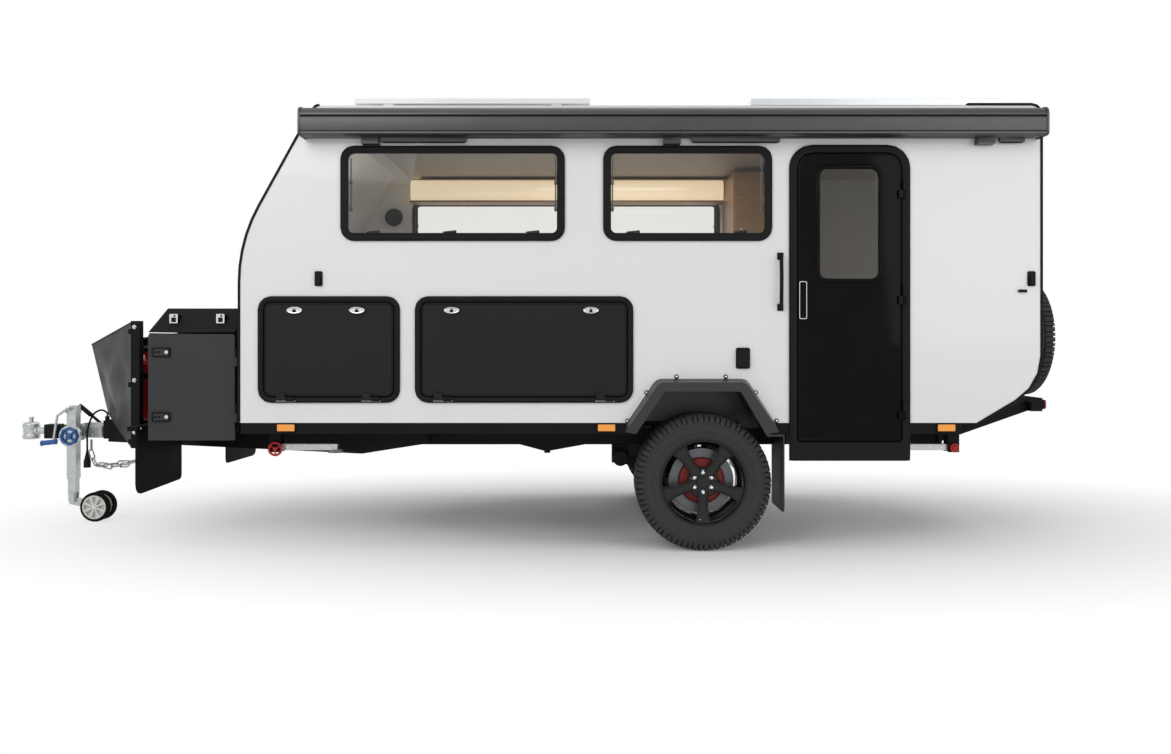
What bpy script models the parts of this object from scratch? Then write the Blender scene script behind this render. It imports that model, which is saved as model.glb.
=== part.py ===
"""Off-road hybrid caravan, built as its real panels, frames and running gear.

Metres, +Z up. X runs along the van with the coupling at -X, and the entry side (near) is -Y.
"""

import math

import bmesh
import bpy
from mathutils import Matrix, Vector

# Body shell
HALF_WIDTH = 1.05
WALL = 0.035
NOSE_X = -1.565
TAIL_X = 2.972
FLOOR_Z = 0.73
ROOF_Z = 2.53
NOSE_BEND_Z = 1.757
NOSE_BEND_R = 0.885
NOSE_TOP_X = -1.138
TAIL_BEND_Z = 0.946
TAIL_BEND_R = 0.29
TAIL_FOOT_X = 2.61
TRIM = 0.014
GAP = 0.0003
RUN = 0.006

# Chassis and drawbar
SKIRT = 0.062
BEAM_W = 0.05
RAIL_Y = 0.66
RAIL_H = 0.10
CROSS_LIFT = 0.002
DRAW_TOP = FLOOR_Z - SKIRT + CROSS_LIFT - 2 * GAP
DRAW_H = 0.15
DRAW_MID = DRAW_TOP - DRAW_H / 2
DRAW_TIP = (-2.80, 0.06)
DRAW_END = (-0.52, 0.88)
CROSS_X = (-1.535, -0.84, -0.22, 0.56, 1.50, 2.29, 2.50)

# Road wheels
WHEEL_X = 1.0625
WHEEL_Y = 0.93
TYRE_R = 0.388
TYRE_W = 0.265
RIM_R = 0.243
LUG = 0.010
SECTORS = 28
ARCH_Z = 0.945

# Entry door
DOOR_X = (1.547, 2.231)
DOOR_Z = (0.516, 2.305)
DOOR_RIM = 0.043
DOOR_SILL_Z = 0.621
PROUD = 0.012

# Windows and hatches: near-side x range, z range
WINDOW_Z = (1.761, 2.300)
WINDOWS = {"front": (-0.995, 0.276), "rear": (0.4925, 1.450)}
HATCH_Z = (0.844, 1.448)
HATCHES = {"front": (-1.4626, -0.659), "rear": (-0.5734, 0.6635)}
FRAME_RIM = 0.040
HATCH_RIM = 0.030
LAP = 0.012

# Front box and stone guard
BOX_X = (-2.115, -1.60)
BOX_Z = (DRAW_TOP + GAP, 1.24)
BOX_HALF = 1.0
BOX_TOP_Z = 1.385
SHEET = 0.015
POST_X = -2.27
POST_Y = 0.80
POST = 0.05

# Jockey wheel
JOCKEY_X = -3.017
JOCKEY_Y = -0.125
JOCKEY_TUBE = 0.06
JOCKEY_TRAIL = 0.167
JOCKEY_R = 0.0975

# Corner steadies
STEADY_Y = 0.86
STEADY_Z = 0.575

# Spare wheel
SPARE_X = 3.265
SPARE_Z = 1.22

# Top of the roof panels, the highest point; where the roof meets the tail and the nose
PANEL_Z = ROOF_Z + 0.104
ROOF_LOW = ROOF_Z - 0.06
NOSE_SPLIT_X = NOSE_TOP_X + 0.098

# Awning case along the top of the near side, bottom and top
AWNING_Z = (ROOF_Z - 0.190, ROOF_Z - 0.034)

# Near side wall's outer face, and the finishes used most
SIDE_Y = -HALF_WIDTH
BLACK = (0.02, 0.02, 0.022, 1.0)
WHITE = (0.85, 0.85, 0.84, 1.0)
ZINC = (0.62, 0.63, 0.62, 1.0)
RUBBER = (0.015, 0.015, 0.015, 1.0)


def clear_scene():
    for obj in list(bpy.data.objects):
        bpy.data.objects.remove(obj, do_unlink=True)


def collection(name, hidden):
    made = bpy.data.collections.new(name)
    bpy.context.scene.collection.children.link(made)
    made.hide_render = hidden
    return made


clear_scene()
PARTS = collection("caravan", False)
WORK = collection("cutters", True)


def piece(bm):
    """A scratch object from a bmesh, closed and facing out."""
    bmesh.ops.recalc_face_normals(bm, faces=bm.faces)
    mesh = bpy.data.meshes.new("piece")
    bm.to_mesh(mesh)
    bm.free()
    obj = bpy.data.objects.new("piece", mesh)
    obj.hide_render = True
    obj.display_type = "WIRE"
    WORK.objects.link(obj)
    return obj


def remade(obj, matrix=None):
    """The evaluated object as a plain welded mesh, turned by a matrix; the old object goes."""
    bpy.context.view_layer.update()
    graph = bpy.context.evaluated_depsgraph_get()
    mesh = bpy.data.meshes.new_from_object(obj.evaluated_get(graph))
    bm = bmesh.new()
    bm.from_mesh(mesh)
    bpy.data.meshes.remove(mesh)
    bmesh.ops.remove_doubles(bm, verts=bm.verts, dist=1e-6)
    bmesh.ops.transform(bm, matrix=(matrix or Matrix()) @ obj.matrix_world, verts=bm.verts)
    bpy.data.objects.remove(obj, do_unlink=True)
    return piece(bm)


def box(low, high):
    low, high = Vector(low), Vector(high)
    bm = bmesh.new()
    place = Matrix.Translation((low + high) / 2) @ Matrix.Diagonal((*(high - low), 1.0))
    bmesh.ops.create_cube(bm, size=1.0, matrix=place)
    return piece(bm)


def turned_to(direction):
    return Vector(direction).to_track_quat("Z", "Y").to_matrix().to_4x4()


def rod(start, end, radius, sides=12, end_radius=None):
    start, end = Vector(start), Vector(end)
    bm = bmesh.new()
    place = Matrix.Translation((start + end) / 2) @ turned_to(end - start)
    bmesh.ops.create_cone(
        bm,
        cap_ends=True,
        segments=sides,
        radius1=radius,
        radius2=radius if end_radius is None else end_radius,
        depth=(end - start).length,
        matrix=place,
    )
    return piece(bm)


def beam(start, end, width, height):
    """A straight bar of rectangular section: width is level, height is across it."""
    start, end = Vector(start), Vector(end)
    along = end - start
    side = along.cross(Vector((0, 0, 1))).normalized()
    up = side.cross(along).normalized()
    turn = Matrix((along, side * width, up * height)).transposed().to_4x4()
    bm = bmesh.new()
    bmesh.ops.create_cube(bm, size=1.0, matrix=Matrix.Translation((start + end) / 2) @ turn)
    return piece(bm)


def rounded(corners):
    """Outline points from corners given as (across, up, radius), each turned as an arc."""
    points = []
    count = len(corners)
    for index, (x, y, radius) in enumerate(corners):
        here = Vector((x, y))
        if not radius:
            points.append(here)
            continue
        before = (Vector(corners[index - 1][:2]) - here).normalized()
        after = (Vector(corners[(index + 1) % count][:2]) - here).normalized()
        half = before.angle(after) / 2
        centre = here + (before + after).normalized() * radius / math.sin(half)
        start = here + before * radius / math.tan(half) - centre
        sweep = math.pi - 2 * half
        if start.cross(here - centre) < 0:
            sweep = -sweep
        facet = 32 if radius < 0.1 else 20 if radius < 0.5 else 6
        steps = max(2, round(abs(sweep) / math.radians(facet)))
        for step in range(steps + 1):
            points.append(centre + Matrix.Rotation(sweep * step / steps, 2) @ start)
    return points


def rectangle(x_range, z_range, radius=0.0, grow=0.0):
    (x0, x1), (z0, z1) = x_range, z_range
    radius = max(0.0, radius + grow)
    return rounded(
        [
            (x0 - grow, z0 - grow, radius),
            (x1 + grow, z0 - grow, radius),
            (x1 + grow, z1 + grow, radius),
            (x0 - grow, z1 + grow, radius),
        ]
    )


# A plate's outline lies in XZ for axis Y, in XY for axis Z and in YZ for axis X
FACING = {
    "X": Matrix(((0, 0, 1), (1, 0, 0), (0, 1, 0))).to_4x4(),
    "Y": Matrix(((1, 0, 0), (0, 0, -1), (0, 1, 0))).to_4x4(),
    "Z": Matrix(),
}


def plate(outline, axis, low, high, holes=()):
    """A flat outline with holes, as thick as low to high along the axis."""
    curve = bpy.data.curves.new("outline", "CURVE")
    curve.dimensions = "2D"
    curve.fill_mode = "BOTH"
    curve.extrude = (high - low) / 2
    for loop in (outline, *holes):
        spline = curve.splines.new("POLY")
        spline.points.add(len(loop) - 1)
        spline.use_cyclic_u = True
        for point, (x, y) in zip(spline.points, loop):
            point.co = (x, y, 0.0, 1.0)
    obj = bpy.data.objects.new("outline", curve)
    WORK.objects.link(obj)
    middle = (low + high) / 2 * Vector([letter == axis for letter in "XYZ"])
    return remade(obj, Matrix.Translation(middle) @ FACING[axis])


def turned(profile, centre, axis, steps, closed=False):
    """A profile of (radius, along) points, turned round an axis with a Screw modifier."""
    count = len(profile)
    edges = [(i, (i + 1) % count) for i in range(count if closed else count - 1)]
    mesh = bpy.data.meshes.new("profile")
    mesh.from_pydata([(radius, 0.0, along) for radius, along in profile], edges, [])
    obj = bpy.data.objects.new("profile", mesh)
    WORK.objects.link(obj)
    screw = obj.modifiers.new("Screw", "SCREW")
    screw.steps = screw.render_steps = steps
    screw.use_merge_vertices = True
    screw.merge_threshold = 1e-5
    return remade(obj, Matrix.Translation(centre) @ turned_to(axis))


def tube(points, radius, resolution=1, cyclic=False):
    """A bent wire or pipe through the points."""
    curve = bpy.data.curves.new("tube", "CURVE")
    curve.dimensions = "3D"
    curve.bevel_depth = radius
    curve.bevel_resolution = resolution
    curve.use_fill_caps = not cyclic
    spline = curve.splines.new("POLY")
    spline.points.add(len(points) - 1)
    spline.use_cyclic_u = cyclic
    for point, place in zip(spline.points, points):
        point.co = (*place, 1.0)
    obj = bpy.data.objects.new("tube", curve)
    WORK.objects.link(obj)
    return remade(obj)


def joined(operation, first, others):
    for other in others:
        step = first.modifiers.new(operation, "BOOLEAN")
        step.operation = operation
        step.solver = "EXACT"
        step.object = other
    made = remade(first)
    for other in others:
        bpy.data.objects.remove(other, do_unlink=True)
    return made


def fused(first, *others):
    return joined("UNION", first, others)


def cut(first, *others):
    return joined("DIFFERENCE", first, others)


def mirrored(obj):
    """A copy on the far side of the van."""
    bm = bmesh.new()
    bm.from_mesh(obj.data)
    bmesh.ops.scale(bm, vec=(1, -1, 1), verts=bm.verts)
    return piece(bm)


MATERIALS = {}


def material(name, colour, roughness, metallic):
    if name not in MATERIALS:
        made = bpy.data.materials.new(name)
        made.use_nodes = True
        shader = made.node_tree.nodes["Principled BSDF"]
        shader.inputs["Base Color"].default_value = colour
        shader.inputs["Roughness"].default_value = roughness
        shader.inputs["Metallic"].default_value = metallic
        made.diffuse_color = colour
        MATERIALS[name] = made
    return MATERIALS[name]


def node(name, obj, finish, pivot=(0, 0, 0)):
    """Names a finished piece, gives it its finish and sets its origin on its pivot."""
    obj.data.transform(Matrix.Translation(-Vector(pivot)))
    obj.location = pivot
    obj.name = obj.data.name = name
    obj.data.materials.clear()
    obj.data.materials.append(material(*finish))
    obj.data.shade_smooth()
    obj.data.set_sharp_from_angle(angle=math.radians(30))
    obj.hide_render = False
    obj.display_type = "TEXTURED"
    WORK.objects.unlink(obj)
    PARTS.objects.link(obj)
    return obj


PAINT_BLACK = ("powder_coat_black", BLACK, 0.55, 0.0)
PANEL_WHITE = ("composite_panel_white", WHITE, 0.35, 0.0)
GALVANISED = ("galvanised_steel", ZINC, 0.45, 1.0)
PLASTIC_BLACK = ("moulded_black", BLACK, 0.5, 0.0)
TYRE_RUBBER = ("tyre_rubber", RUBBER, 0.85, 0.0)
GLOSS_BLACK = ("gloss_black", BLACK, 0.15, 0.0)
ACRYLIC = ("bronze_acrylic", (0.12, 0.09, 0.07, 0.35), 0.05, 0.0)
TIMBER = ("light_timber", (0.62, 0.45, 0.28, 1.0), 0.5, 0.0)
ALUMINIUM = ("aluminium", (0.7, 0.7, 0.71, 1.0), 0.35, 1.0)
RED_PAINT = ("red_enamel", (0.6, 0.03, 0.03, 1.0), 0.3, 0.0)


def body_outline(grow=0.0):
    """Side profile of the body, as (x, z, radius) corners, grown outwards."""
    slope = math.atan2(NOSE_TOP_X - NOSE_X, ROOF_Z - NOSE_BEND_Z)
    fall = math.atan2(TAIL_BEND_Z - FLOOR_Z, TAIL_X - TAIL_FOOT_X)
    bend = grow * math.tan(slope / 2)
    top = grow * math.tan(math.pi / 4 - slope / 2)
    tail = grow * math.tan((math.pi / 2 - fall) / 2)
    return [
        (NOSE_X - grow, FLOOR_Z - grow, 0),
        (NOSE_X - grow, NOSE_BEND_Z + bend, NOSE_BEND_R + grow),
        (NOSE_TOP_X - top, ROOF_Z + grow, 0.06 + grow),
        (TAIL_X + grow, ROOF_Z + grow, 0.05 + grow),
        (TAIL_X + grow, TAIL_BEND_Z - tail, TAIL_BEND_R + grow),
        (TAIL_FOOT_X + grow * math.tan(fall / 2), FLOOR_Z - grow, 0),
    ]


def hinge(axis, at, spots, leaf_strap, frame_strap, radius=0.008, length=0.05):
    """Knuckles on one pin line: pieces for the leaf and pieces for what carries it.

    A strap is ((low, low), (high, high)) in the two directions across the axis, from the pin.
    """
    index = "XYZ".index(axis)
    across = [i for i in range(3) if i != index]
    made = {"leaf": [], "frame": []}
    for spot in spots:
        spans = {"leaf": (spot - length, spot - GAP / 2), "frame": (spot + GAP / 2, spot + length)}
        for owner, (start, end) in spans.items():
            low, high = leaf_strap if owner == "leaf" else frame_strap
            corners = [[0.0] * 3, [0.0] * 3]
            for corner, offset, place in zip(corners, (low, high), (start + 0.002, end - 0.002)):
                corner[index] = place
                for direction, value in zip(across, offset):
                    corner[direction] = at[direction] + value
            pin = [list(at), list(at)]
            pin[0][index] = start
            pin[1][index] = end
            made[owner] += [rod(*pin, radius, 10), box(*corners)]
    return made["leaf"], made["frame"]


def arch_notch(grow=0.0):
    """Wheel arch opening from rear to front, as (x, z, radius)."""
    return [
        (WHEEL_X + 0.375 + grow, FLOOR_Z, 0),
        (WHEEL_X + 0.225 + grow, ARCH_Z + grow, 0.03),
        (WHEEL_X - 0.250 - grow, ARCH_Z + grow, 0.03),
        (WHEEL_X - 0.420 - grow, FLOOR_Z, 0),
    ]


def side_wall(near):
    door = [
        (DOOR_X[1] - LAP, FLOOR_Z, 0),
        (DOOR_X[1] - LAP, DOOR_Z[1] - LAP, 0.118),
        (DOOR_X[0] + LAP, DOOR_Z[1] - LAP, 0.118),
        (DOOR_X[0] + LAP, FLOOR_Z, 0),
    ]
    outline = rounded(body_outline() + (door if near else []) + arch_notch())
    holes = [rectangle(span, WINDOW_Z, 0.075, -LAP) for span in WINDOWS.values()]
    if near:
        holes += [rectangle(span, HATCH_Z, 0.07, -LAP) for span in HATCHES.values()]
    wall = plate(outline, "Y", SIDE_Y, SIDE_Y + WALL, holes)
    return wall if near else mirrored(wall)


def shell_part(low, high):
    """The stretch of the body's wrapped panels that lies in a box, between the side walls."""
    inside = HALF_WIDTH - WALL - GAP
    band = plate(
        rounded(body_outline()), "Y", -inside, inside, [rounded(body_outline(-WALL))]
    )
    region = box((low[0], -2, low[1]), (high[0], 2, high[1]))
    return joined("INTERSECT", band, [region])


def floor_panel():
    """Floor with wheel arch notches and the entry step well hung in it."""
    inside = HALF_WIDTH - WALL - GAP
    tub = RAIL_Y + 0.02
    x0, x1 = WHEEL_X - 0.43, WHEEL_X + 0.39
    step = (DOOR_X[0] + 0.055, DOOR_X[1] - 0.055)
    outline = [
        (NOSE_X + 0.002, -inside),
        (x0, -inside),
        (x0, -tub),
        (x1, -tub),
        (x1, -inside),
        (step[0] + 0.02, -inside),
        (step[0] + 0.02, -RAIL_Y - 0.05),
        (step[1] - 0.02, -RAIL_Y - 0.05),
        (step[1] - 0.02, -inside),
        (TAIL_FOOT_X - 0.01, -inside),
        (TAIL_FOOT_X - 0.01, inside),
        (x1, inside),
        (x1, tub),
        (x0, tub),
        (x0, inside),
        (NOSE_X + 0.002, inside),
    ]
    deck = plate(outline, "Z", FLOOR_Z, FLOOR_Z + WALL)
    tray = box((step[0], -inside, DOOR_SILL_Z - 0.04), (step[1], -RAIL_Y - 0.03, FLOOR_Z + 0.02))
    well = box(
        (step[0] + 0.02, -2, DOOR_SILL_Z - 0.02), (step[1] - 0.02, -RAIL_Y - 0.05, FLOOR_Z + 0.1)
    )
    return fused(deck, cut(tray, well))


def trim_end(low_x, high_x, strip):
    """Corner moulding on both side edges, tied across by a strip."""
    near = plate(
        rounded(body_outline(TRIM)),
        "Y",
        SIDE_Y - 0.004,
        SIDE_Y + 0.03,
        [rounded(body_outline(GAP))],
    )
    near = joined("INTERSECT", near, [box((low_x, -2, FLOOR_Z), (high_x, 2, 3))])
    return fused(near, mirrored(near), strip)


# Cross strip of the tail moulding: (along the slope, outwards)
TRIM_STRIP = ((0.0, -0.007), (0.03, -0.007), (0.03, 0.007), (0.0, 0.007))


def build_shell():
    node("near_wall", side_wall(True), PANEL_WHITE)
    node("far_wall", side_wall(False), PANEL_WHITE)
    panel_z = FLOOR_Z + WALL + GAP
    node("front_wall", shell_part((-2, panel_z), (NOSE_SPLIT_X, 3)), PANEL_WHITE)
    roof = shell_part((NOSE_SPLIT_X + GAP, ROOF_LOW), (3.2, 3))
    node("roof", fused(roof, *roof_vent(), *roof_panel(-0.98, 0.418, 0.03)), PANEL_WHITE)
    node("rear_wall", shell_part((2.2, panel_z), (3.2, ROOF_LOW - GAP)), PANEL_WHITE)
    node("floor", floor_panel(), PANEL_WHITE)
    nose = box((NOSE_X - TRIM, SIDE_Y, FLOOR_Z + 0.002), (NOSE_X - GAP, -SIDE_Y, FLOOR_Z + 0.03))
    node("nose_trim", trim_end(-2, -1.12, nose), PAINT_BLACK)
    fall = Vector((TAIL_X - TAIL_FOOT_X, 0, TAIL_BEND_Z - FLOOR_Z)).normalized()
    out = Vector((fall.z, 0, -fall.x)) * (TRIM / 2 + GAP)
    start = Vector((TAIL_FOOT_X, 0, FLOOR_Z)) + fall * 0.04 + out
    tail = plate(
        [tuple((start + fall * a + out.normalized() * b).xz) for a, b in TRIM_STRIP],
        "Y",
        SIDE_Y,
        -SIDE_Y,
    )
    node("tail_trim", trim_end(TAIL_FOOT_X - 0.05, 4, tail), PAINT_BLACK)


def roof_vent():
    """Square roof hatch on its upstand."""
    return [
        box((0.55, -0.02, ROOF_Z - 0.01), (1.05, 0.48, ROOF_Z + 0.035)),
        box((0.53, -0.04, ROOF_Z + 0.03), (1.07, 0.50, ROOF_Z + 0.055)),
    ]


def roof_panel(x0, x1, thick, lift=-0.01):
    """A flat panel held off the roof on four feet."""
    top = PANEL_Z
    slab = box((x0, -0.80, top - thick), (x1, 0.0, top))
    feet = [
        box((x - 0.03, y - 0.02, ROOF_Z + lift), (x + 0.03, y + 0.02, top - thick + 0.005))
        for x in (x0 + 0.2, x1 - 0.2)
        for y in (-0.77, -0.03)
    ]
    return slab, *feet


def build_windows():
    for side, make in (("near", lambda obj: obj), ("far", mirrored)):
        for place, span in WINDOWS.items():
            frame = plate(
                rectangle(span, WINDOW_Z, 0.075),
                "Y",
                SIDE_Y - PROUD,
                SIDE_Y - GAP,
                [rectangle(span, WINDOW_Z, 0.075, -FRAME_RIM)],
            )
            neck = plate(
                rectangle(span, WINDOW_Z, 0.075, -LAP - GAP),
                "Y",
                SIDE_Y - 0.004,
                SIDE_Y + WALL,
                [rectangle(span, WINDOW_Z, 0.075, -FRAME_RIM + 0.004)],
            )
            node(f"window_frame_{side}_{place}", make(fused(frame, neck)), PAINT_BLACK)
            pane = plate(
                rectangle(span, WINDOW_Z, 0.075, -FRAME_RIM - GAP),
                "Y",
                SIDE_Y - PROUD,
                SIDE_Y - PROUD + 0.006,
            )
            node(f"window_pane_{side}_{place}", make(pane), ACRYLIC)


DOOR_PIN = (DOOR_X[1] - DOOR_RIM + 0.004, SIDE_Y - 0.025, 0)


def door_ring(grow, sill, radius=0.13):
    (x0, x1), top = DOOR_X, DOOR_Z[1]
    return rounded(
        [
            (x0 - grow, sill, 0.02),
            (x1 + grow, sill, 0.02),
            (x1 + grow, top + grow, radius + grow),
            (x0 - grow, top + grow, radius + grow),
        ]
    )


def build_door():
    ring = plate(
        door_ring(0, DOOR_Z[0]),
        "Y",
        SIDE_Y - PROUD,
        SIDE_Y - GAP,
        [door_ring(-DOOR_RIM, DOOR_SILL_Z)],
    )
    neck = plate(
        door_ring(-LAP - GAP, DOOR_SILL_Z - 0.035),
        "Y",
        SIDE_Y - 0.004,
        SIDE_Y + WALL - 0.001,
        [door_ring(-DOOR_RIM + 0.004, DOOR_SILL_Z - 0.004)],
    )
    glass_x = (1.712, 2.060)
    glass_z = (1.539, 2.177)
    leaf = plate(
        door_ring(-DOOR_RIM - RUN, DOOR_SILL_Z + RUN),
        "Y",
        SIDE_Y - 0.010,
        SIDE_Y + 0.028,
        [rectangle(glass_x, glass_z, 0.05)],
    )
    knuckles, lugs = hinge(
        "Z",
        DOOR_PIN,
        (0.80, 1.45, 2.05),
        ((-0.03, -0.004), (-0.006, 0.018)),
        ((0.0, 0.004), (0.022, 0.0165)),
    )
    handle = box((DOOR_X[0] + 0.055, SIDE_Y - 0.022, 1.32), (DOOR_X[0] + 0.095, SIDE_Y - 0.008, 1.53))
    node("door_frame", fused(ring, neck, *lugs), PAINT_BLACK)
    node("door_leaf", fused(leaf, handle, *knuckles), GLOSS_BLACK, DOOR_PIN)
    glass = plate(rectangle(glass_x, glass_z, 0.05, -GAP), "Y", SIDE_Y - 0.008, SIDE_Y)
    node("door_glass", glass, ACRYLIC, DOOR_PIN)
    bar = tube(
        [
            (1.497, SIDE_Y - 0.003, 1.675),
            (1.497, SIDE_Y - 0.035, 1.672),
            (1.497, SIDE_Y - 0.042, 1.54),
            (1.497, SIDE_Y - 0.035, 1.388),
            (1.497, SIDE_Y - 0.003, 1.385),
        ],
        0.011,
    )
    feet = [
        box((1.48, SIDE_Y - 0.008, z - 0.02), (1.514, SIDE_Y - GAP, z + 0.02))
        for z in (1.385, 1.675)
    ]
    node("grab_handle", fused(bar, *feet), PLASTIC_BLACK)


def build_hatches():
    for place, span in HATCHES.items():
        pin = (0, SIDE_Y - 0.024, HATCH_Z[0] + HATCH_RIM - 0.004)
        ring = plate(
            rectangle(span, HATCH_Z, 0.075),
            "Y",
            SIDE_Y - PROUD,
            SIDE_Y - GAP,
            [rectangle(span, HATCH_Z, 0.075, -HATCH_RIM)],
        )
        neck = plate(
            rectangle(span, HATCH_Z, 0.075, -LAP - GAP),
            "Y",
            SIDE_Y - 0.004,
            SIDE_Y + WALL,
            [rectangle(span, HATCH_Z, 0.075, -HATCH_RIM + 0.004)],
        )
        leaf = plate(
            rectangle(span, HATCH_Z, 0.075, -HATCH_RIM - RUN),
            "Y",
            SIDE_Y - 0.010,
            SIDE_Y + 0.024,
        )
        spots = (span[0] + 0.16, span[1] - 0.16)
        knuckles, lugs = hinge(
            "X", pin, spots, ((-0.004, 0.006), (0.018, 0.03)), ((0.004, -0.018), (0.0155, 0.0))
        )
        latches = [
            box((x - 0.024, SIDE_Y - 0.02, 1.358), (x + 0.024, SIDE_Y - 0.008, 1.378))
            for x in (span[0] + 0.21, span[1] - 0.24)
        ]
        node(f"hatch_frame_{place}", fused(ring, neck, *lugs), PAINT_BLACK)
        middle = (sum(span) / 2, *pin[1:])
        node(f"hatch_door_{place}", fused(leaf, *knuckles, *latches), PAINT_BLACK, middle)


def both(make):
    """The near piece and its mirror image."""
    made = make()
    return [made, mirrored(made)]


def steady_ears(pivot_x, cross_x):
    low = FLOOR_Z - SKIRT + CROSS_LIFT + 0.001
    low_x, high_x = sorted((cross_x, pivot_x))
    ears = [
        box(
            (pivot_x - 0.033, -STEADY_Y + y, STEADY_Z - 0.03),
            (pivot_x + 0.033, -STEADY_Y + y + 0.006, low + 0.008),
        )
        for y in (-0.036, 0.030)
    ]
    cover = box((low_x - 0.02, -STEADY_Y - 0.04, low), (high_x + 0.037, -STEADY_Y + 0.04, low + 0.014))
    return fused(cover, *ears)


STEADIES = {"front": (-1.42, 1), "rear": (2.54, -1)}


def build_chassis():
    top, low = FLOOR_Z - GAP, FLOOR_Z - GAP - SKIRT
    arch = (WHEEL_X - 0.422, WHEEL_X + 0.377)
    near = ((NOSE_X + 0.002, arch[0]), (arch[1], DOOR_X[0] - 0.004), (DOOR_X[1] + 0.004, 2.527))
    far = ((NOSE_X + 0.002, arch[0]), (arch[1], 2.527))
    skirts = [box((a, SIDE_Y + 0.002, low), (b, SIDE_Y + 0.05, top)) for a, b in near]
    skirts += [box((a, -SIDE_Y - 0.05, low), (b, -SIDE_Y - 0.002, top)) for a, b in far]
    crosses = [
        box(
            (x - BEAM_W / 2, SIDE_Y + 0.04, low + CROSS_LIFT),
            (x + BEAM_W / 2, -SIDE_Y - 0.04, top - 0.002),
        )
        for x in CROSS_X
    ]
    rails = both(
        lambda: box(
            (-0.86, -RAIL_Y - BEAM_W / 2, low - RAIL_H), (2.52, -RAIL_Y + BEAM_W / 2, low + 0.004)
        )
    )
    ears = both(lambda: steady_ears(STEADIES["front"][0], CROSS_X[0]))
    ears += both(lambda: steady_ears(STEADIES["rear"][0], CROSS_X[-1]))
    markers = []
    for x in (-1.303, 0.512, 2.436):
        markers += both(
            lambda: box((x - 0.052, SIDE_Y - 0.008, low + 0.012), (x + 0.052, SIDE_Y + 0.01, top - 0.006))
        )
    node("chassis", fused(*rails[:1], *crosses, *rails[1:], *skirts, *ears, *markers), PAINT_BLACK)


def build_steadies():
    for place, (pivot, way) in STEADIES.items():
        for side, y in (("near", -STEADY_Y), ("far", STEADY_Y)):
            arm = box(
                (min(pivot, pivot + way * 0.36), y - 0.02, STEADY_Z - 0.02),
                (max(pivot, pivot + way * 0.36), y + 0.02, STEADY_Z + 0.015),
            )
            boss = rod((pivot, y - 0.03 + GAP, STEADY_Z), (pivot, y + 0.03 - GAP, STEADY_Z), 0.014)
            foot = rod(
                (pivot + way * 0.35, y, STEADY_Z - 0.034),
                (pivot + way * 0.35, y, STEADY_Z - 0.016),
                0.05,
                14,
                0.03,
            )
            node(f"steady_{place}_{side}", fused(arm, boss, foot), GALVANISED, (pivot, y, STEADY_Z))


def build_drawbar():
    rails = both(
        lambda: beam(
            (DRAW_TIP[0], -DRAW_TIP[1], DRAW_MID), (DRAW_END[0], -DRAW_END[1], DRAW_MID), BEAM_W, DRAW_H
        )
    )
    wedge = both(
        lambda: plate(
            [(-1.0, DRAW_TOP - DRAW_H - 0.01), (-0.3, DRAW_TOP - DRAW_H - 0.01), (-0.3, DRAW_TOP - 0.03)],
            "Y",
            -1.0,
            -0.6,
        )
    )
    nose = box((-2.84, -0.085, DRAW_TOP - 0.13), (-2.68, 0.085, DRAW_TOP - 0.008))
    tray = box((-2.52, -0.36, DRAW_TOP - 0.004), (-2.14, 0.36, DRAW_TOP + 0.006))
    cross = box(
        (POST_X - 0.022, -POST_Y, DRAW_TOP - 0.068),
        (POST_X + 0.022, POST_Y, DRAW_TOP - 0.01),
    )
    gland = rod((*GLAND, DRAW_TOP - 0.01), (*GLAND, DRAW_TOP + 0.02), 0.014, 10)
    lugs = both(
        lambda: box(
            (CHAIN_LUG[0] - 0.012, -CHAIN_LUG[1] - 0.005, CHAIN_LUG[2]),
            (CHAIN_LUG[0] + 0.012, -CHAIN_LUG[1] + 0.005, DRAW_MID),
        )
    )
    bar = cut(fused(nose, *rails, tray, cross, gland, *lugs, guard_frame()), *wedge)
    node("drawbar", bar, PAINT_BLACK)


def build_coupling():
    z = 0.585
    body = box((-3.10, -0.042, z - 0.045), (-2.84 - GAP, 0.042, z + 0.06))
    side = box((-3.07, JOCKEY_Y + JOCKEY_TUBE / 2 + GAP, z - 0.055), (-2.86, -0.03, z + 0.055))
    boot = turned(
        [(0.0, 0.08), (0.03, 0.08), (0.042, 0.06), (0.032, 0.04), (0.042, 0.02), (0.036, 0.0), (0.0, 0.0)],
        (-3.175, 0, z),
        (1, 0, 0),
        14,
    )
    block = box((-3.262, -0.045, z - 0.05), (-3.17, 0.045, z + 0.045))
    shaft = rod((-3.37, 0, z), (-3.25, 0, z), 0.024)
    head = rod((-3.372, 0, z - 0.055), (-3.372, 0, z + 0.06), 0.055, 18)
    pin = rod((-3.372, 0, z + 0.05), (-3.372, 0, z + 0.095), 0.016)
    lever = beam((-2.90, 0.0, z + 0.05), (-3.04, 0.0, z + 0.165), 0.014, 0.022)
    grip = rod((-2.965, 0.0, z + 0.103), (-3.05, 0.0, z + 0.173), 0.017, 10)
    node("coupling", fused(body, side, boot, block, shaft, head, pin, lever, grip), GALVANISED)


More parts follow.
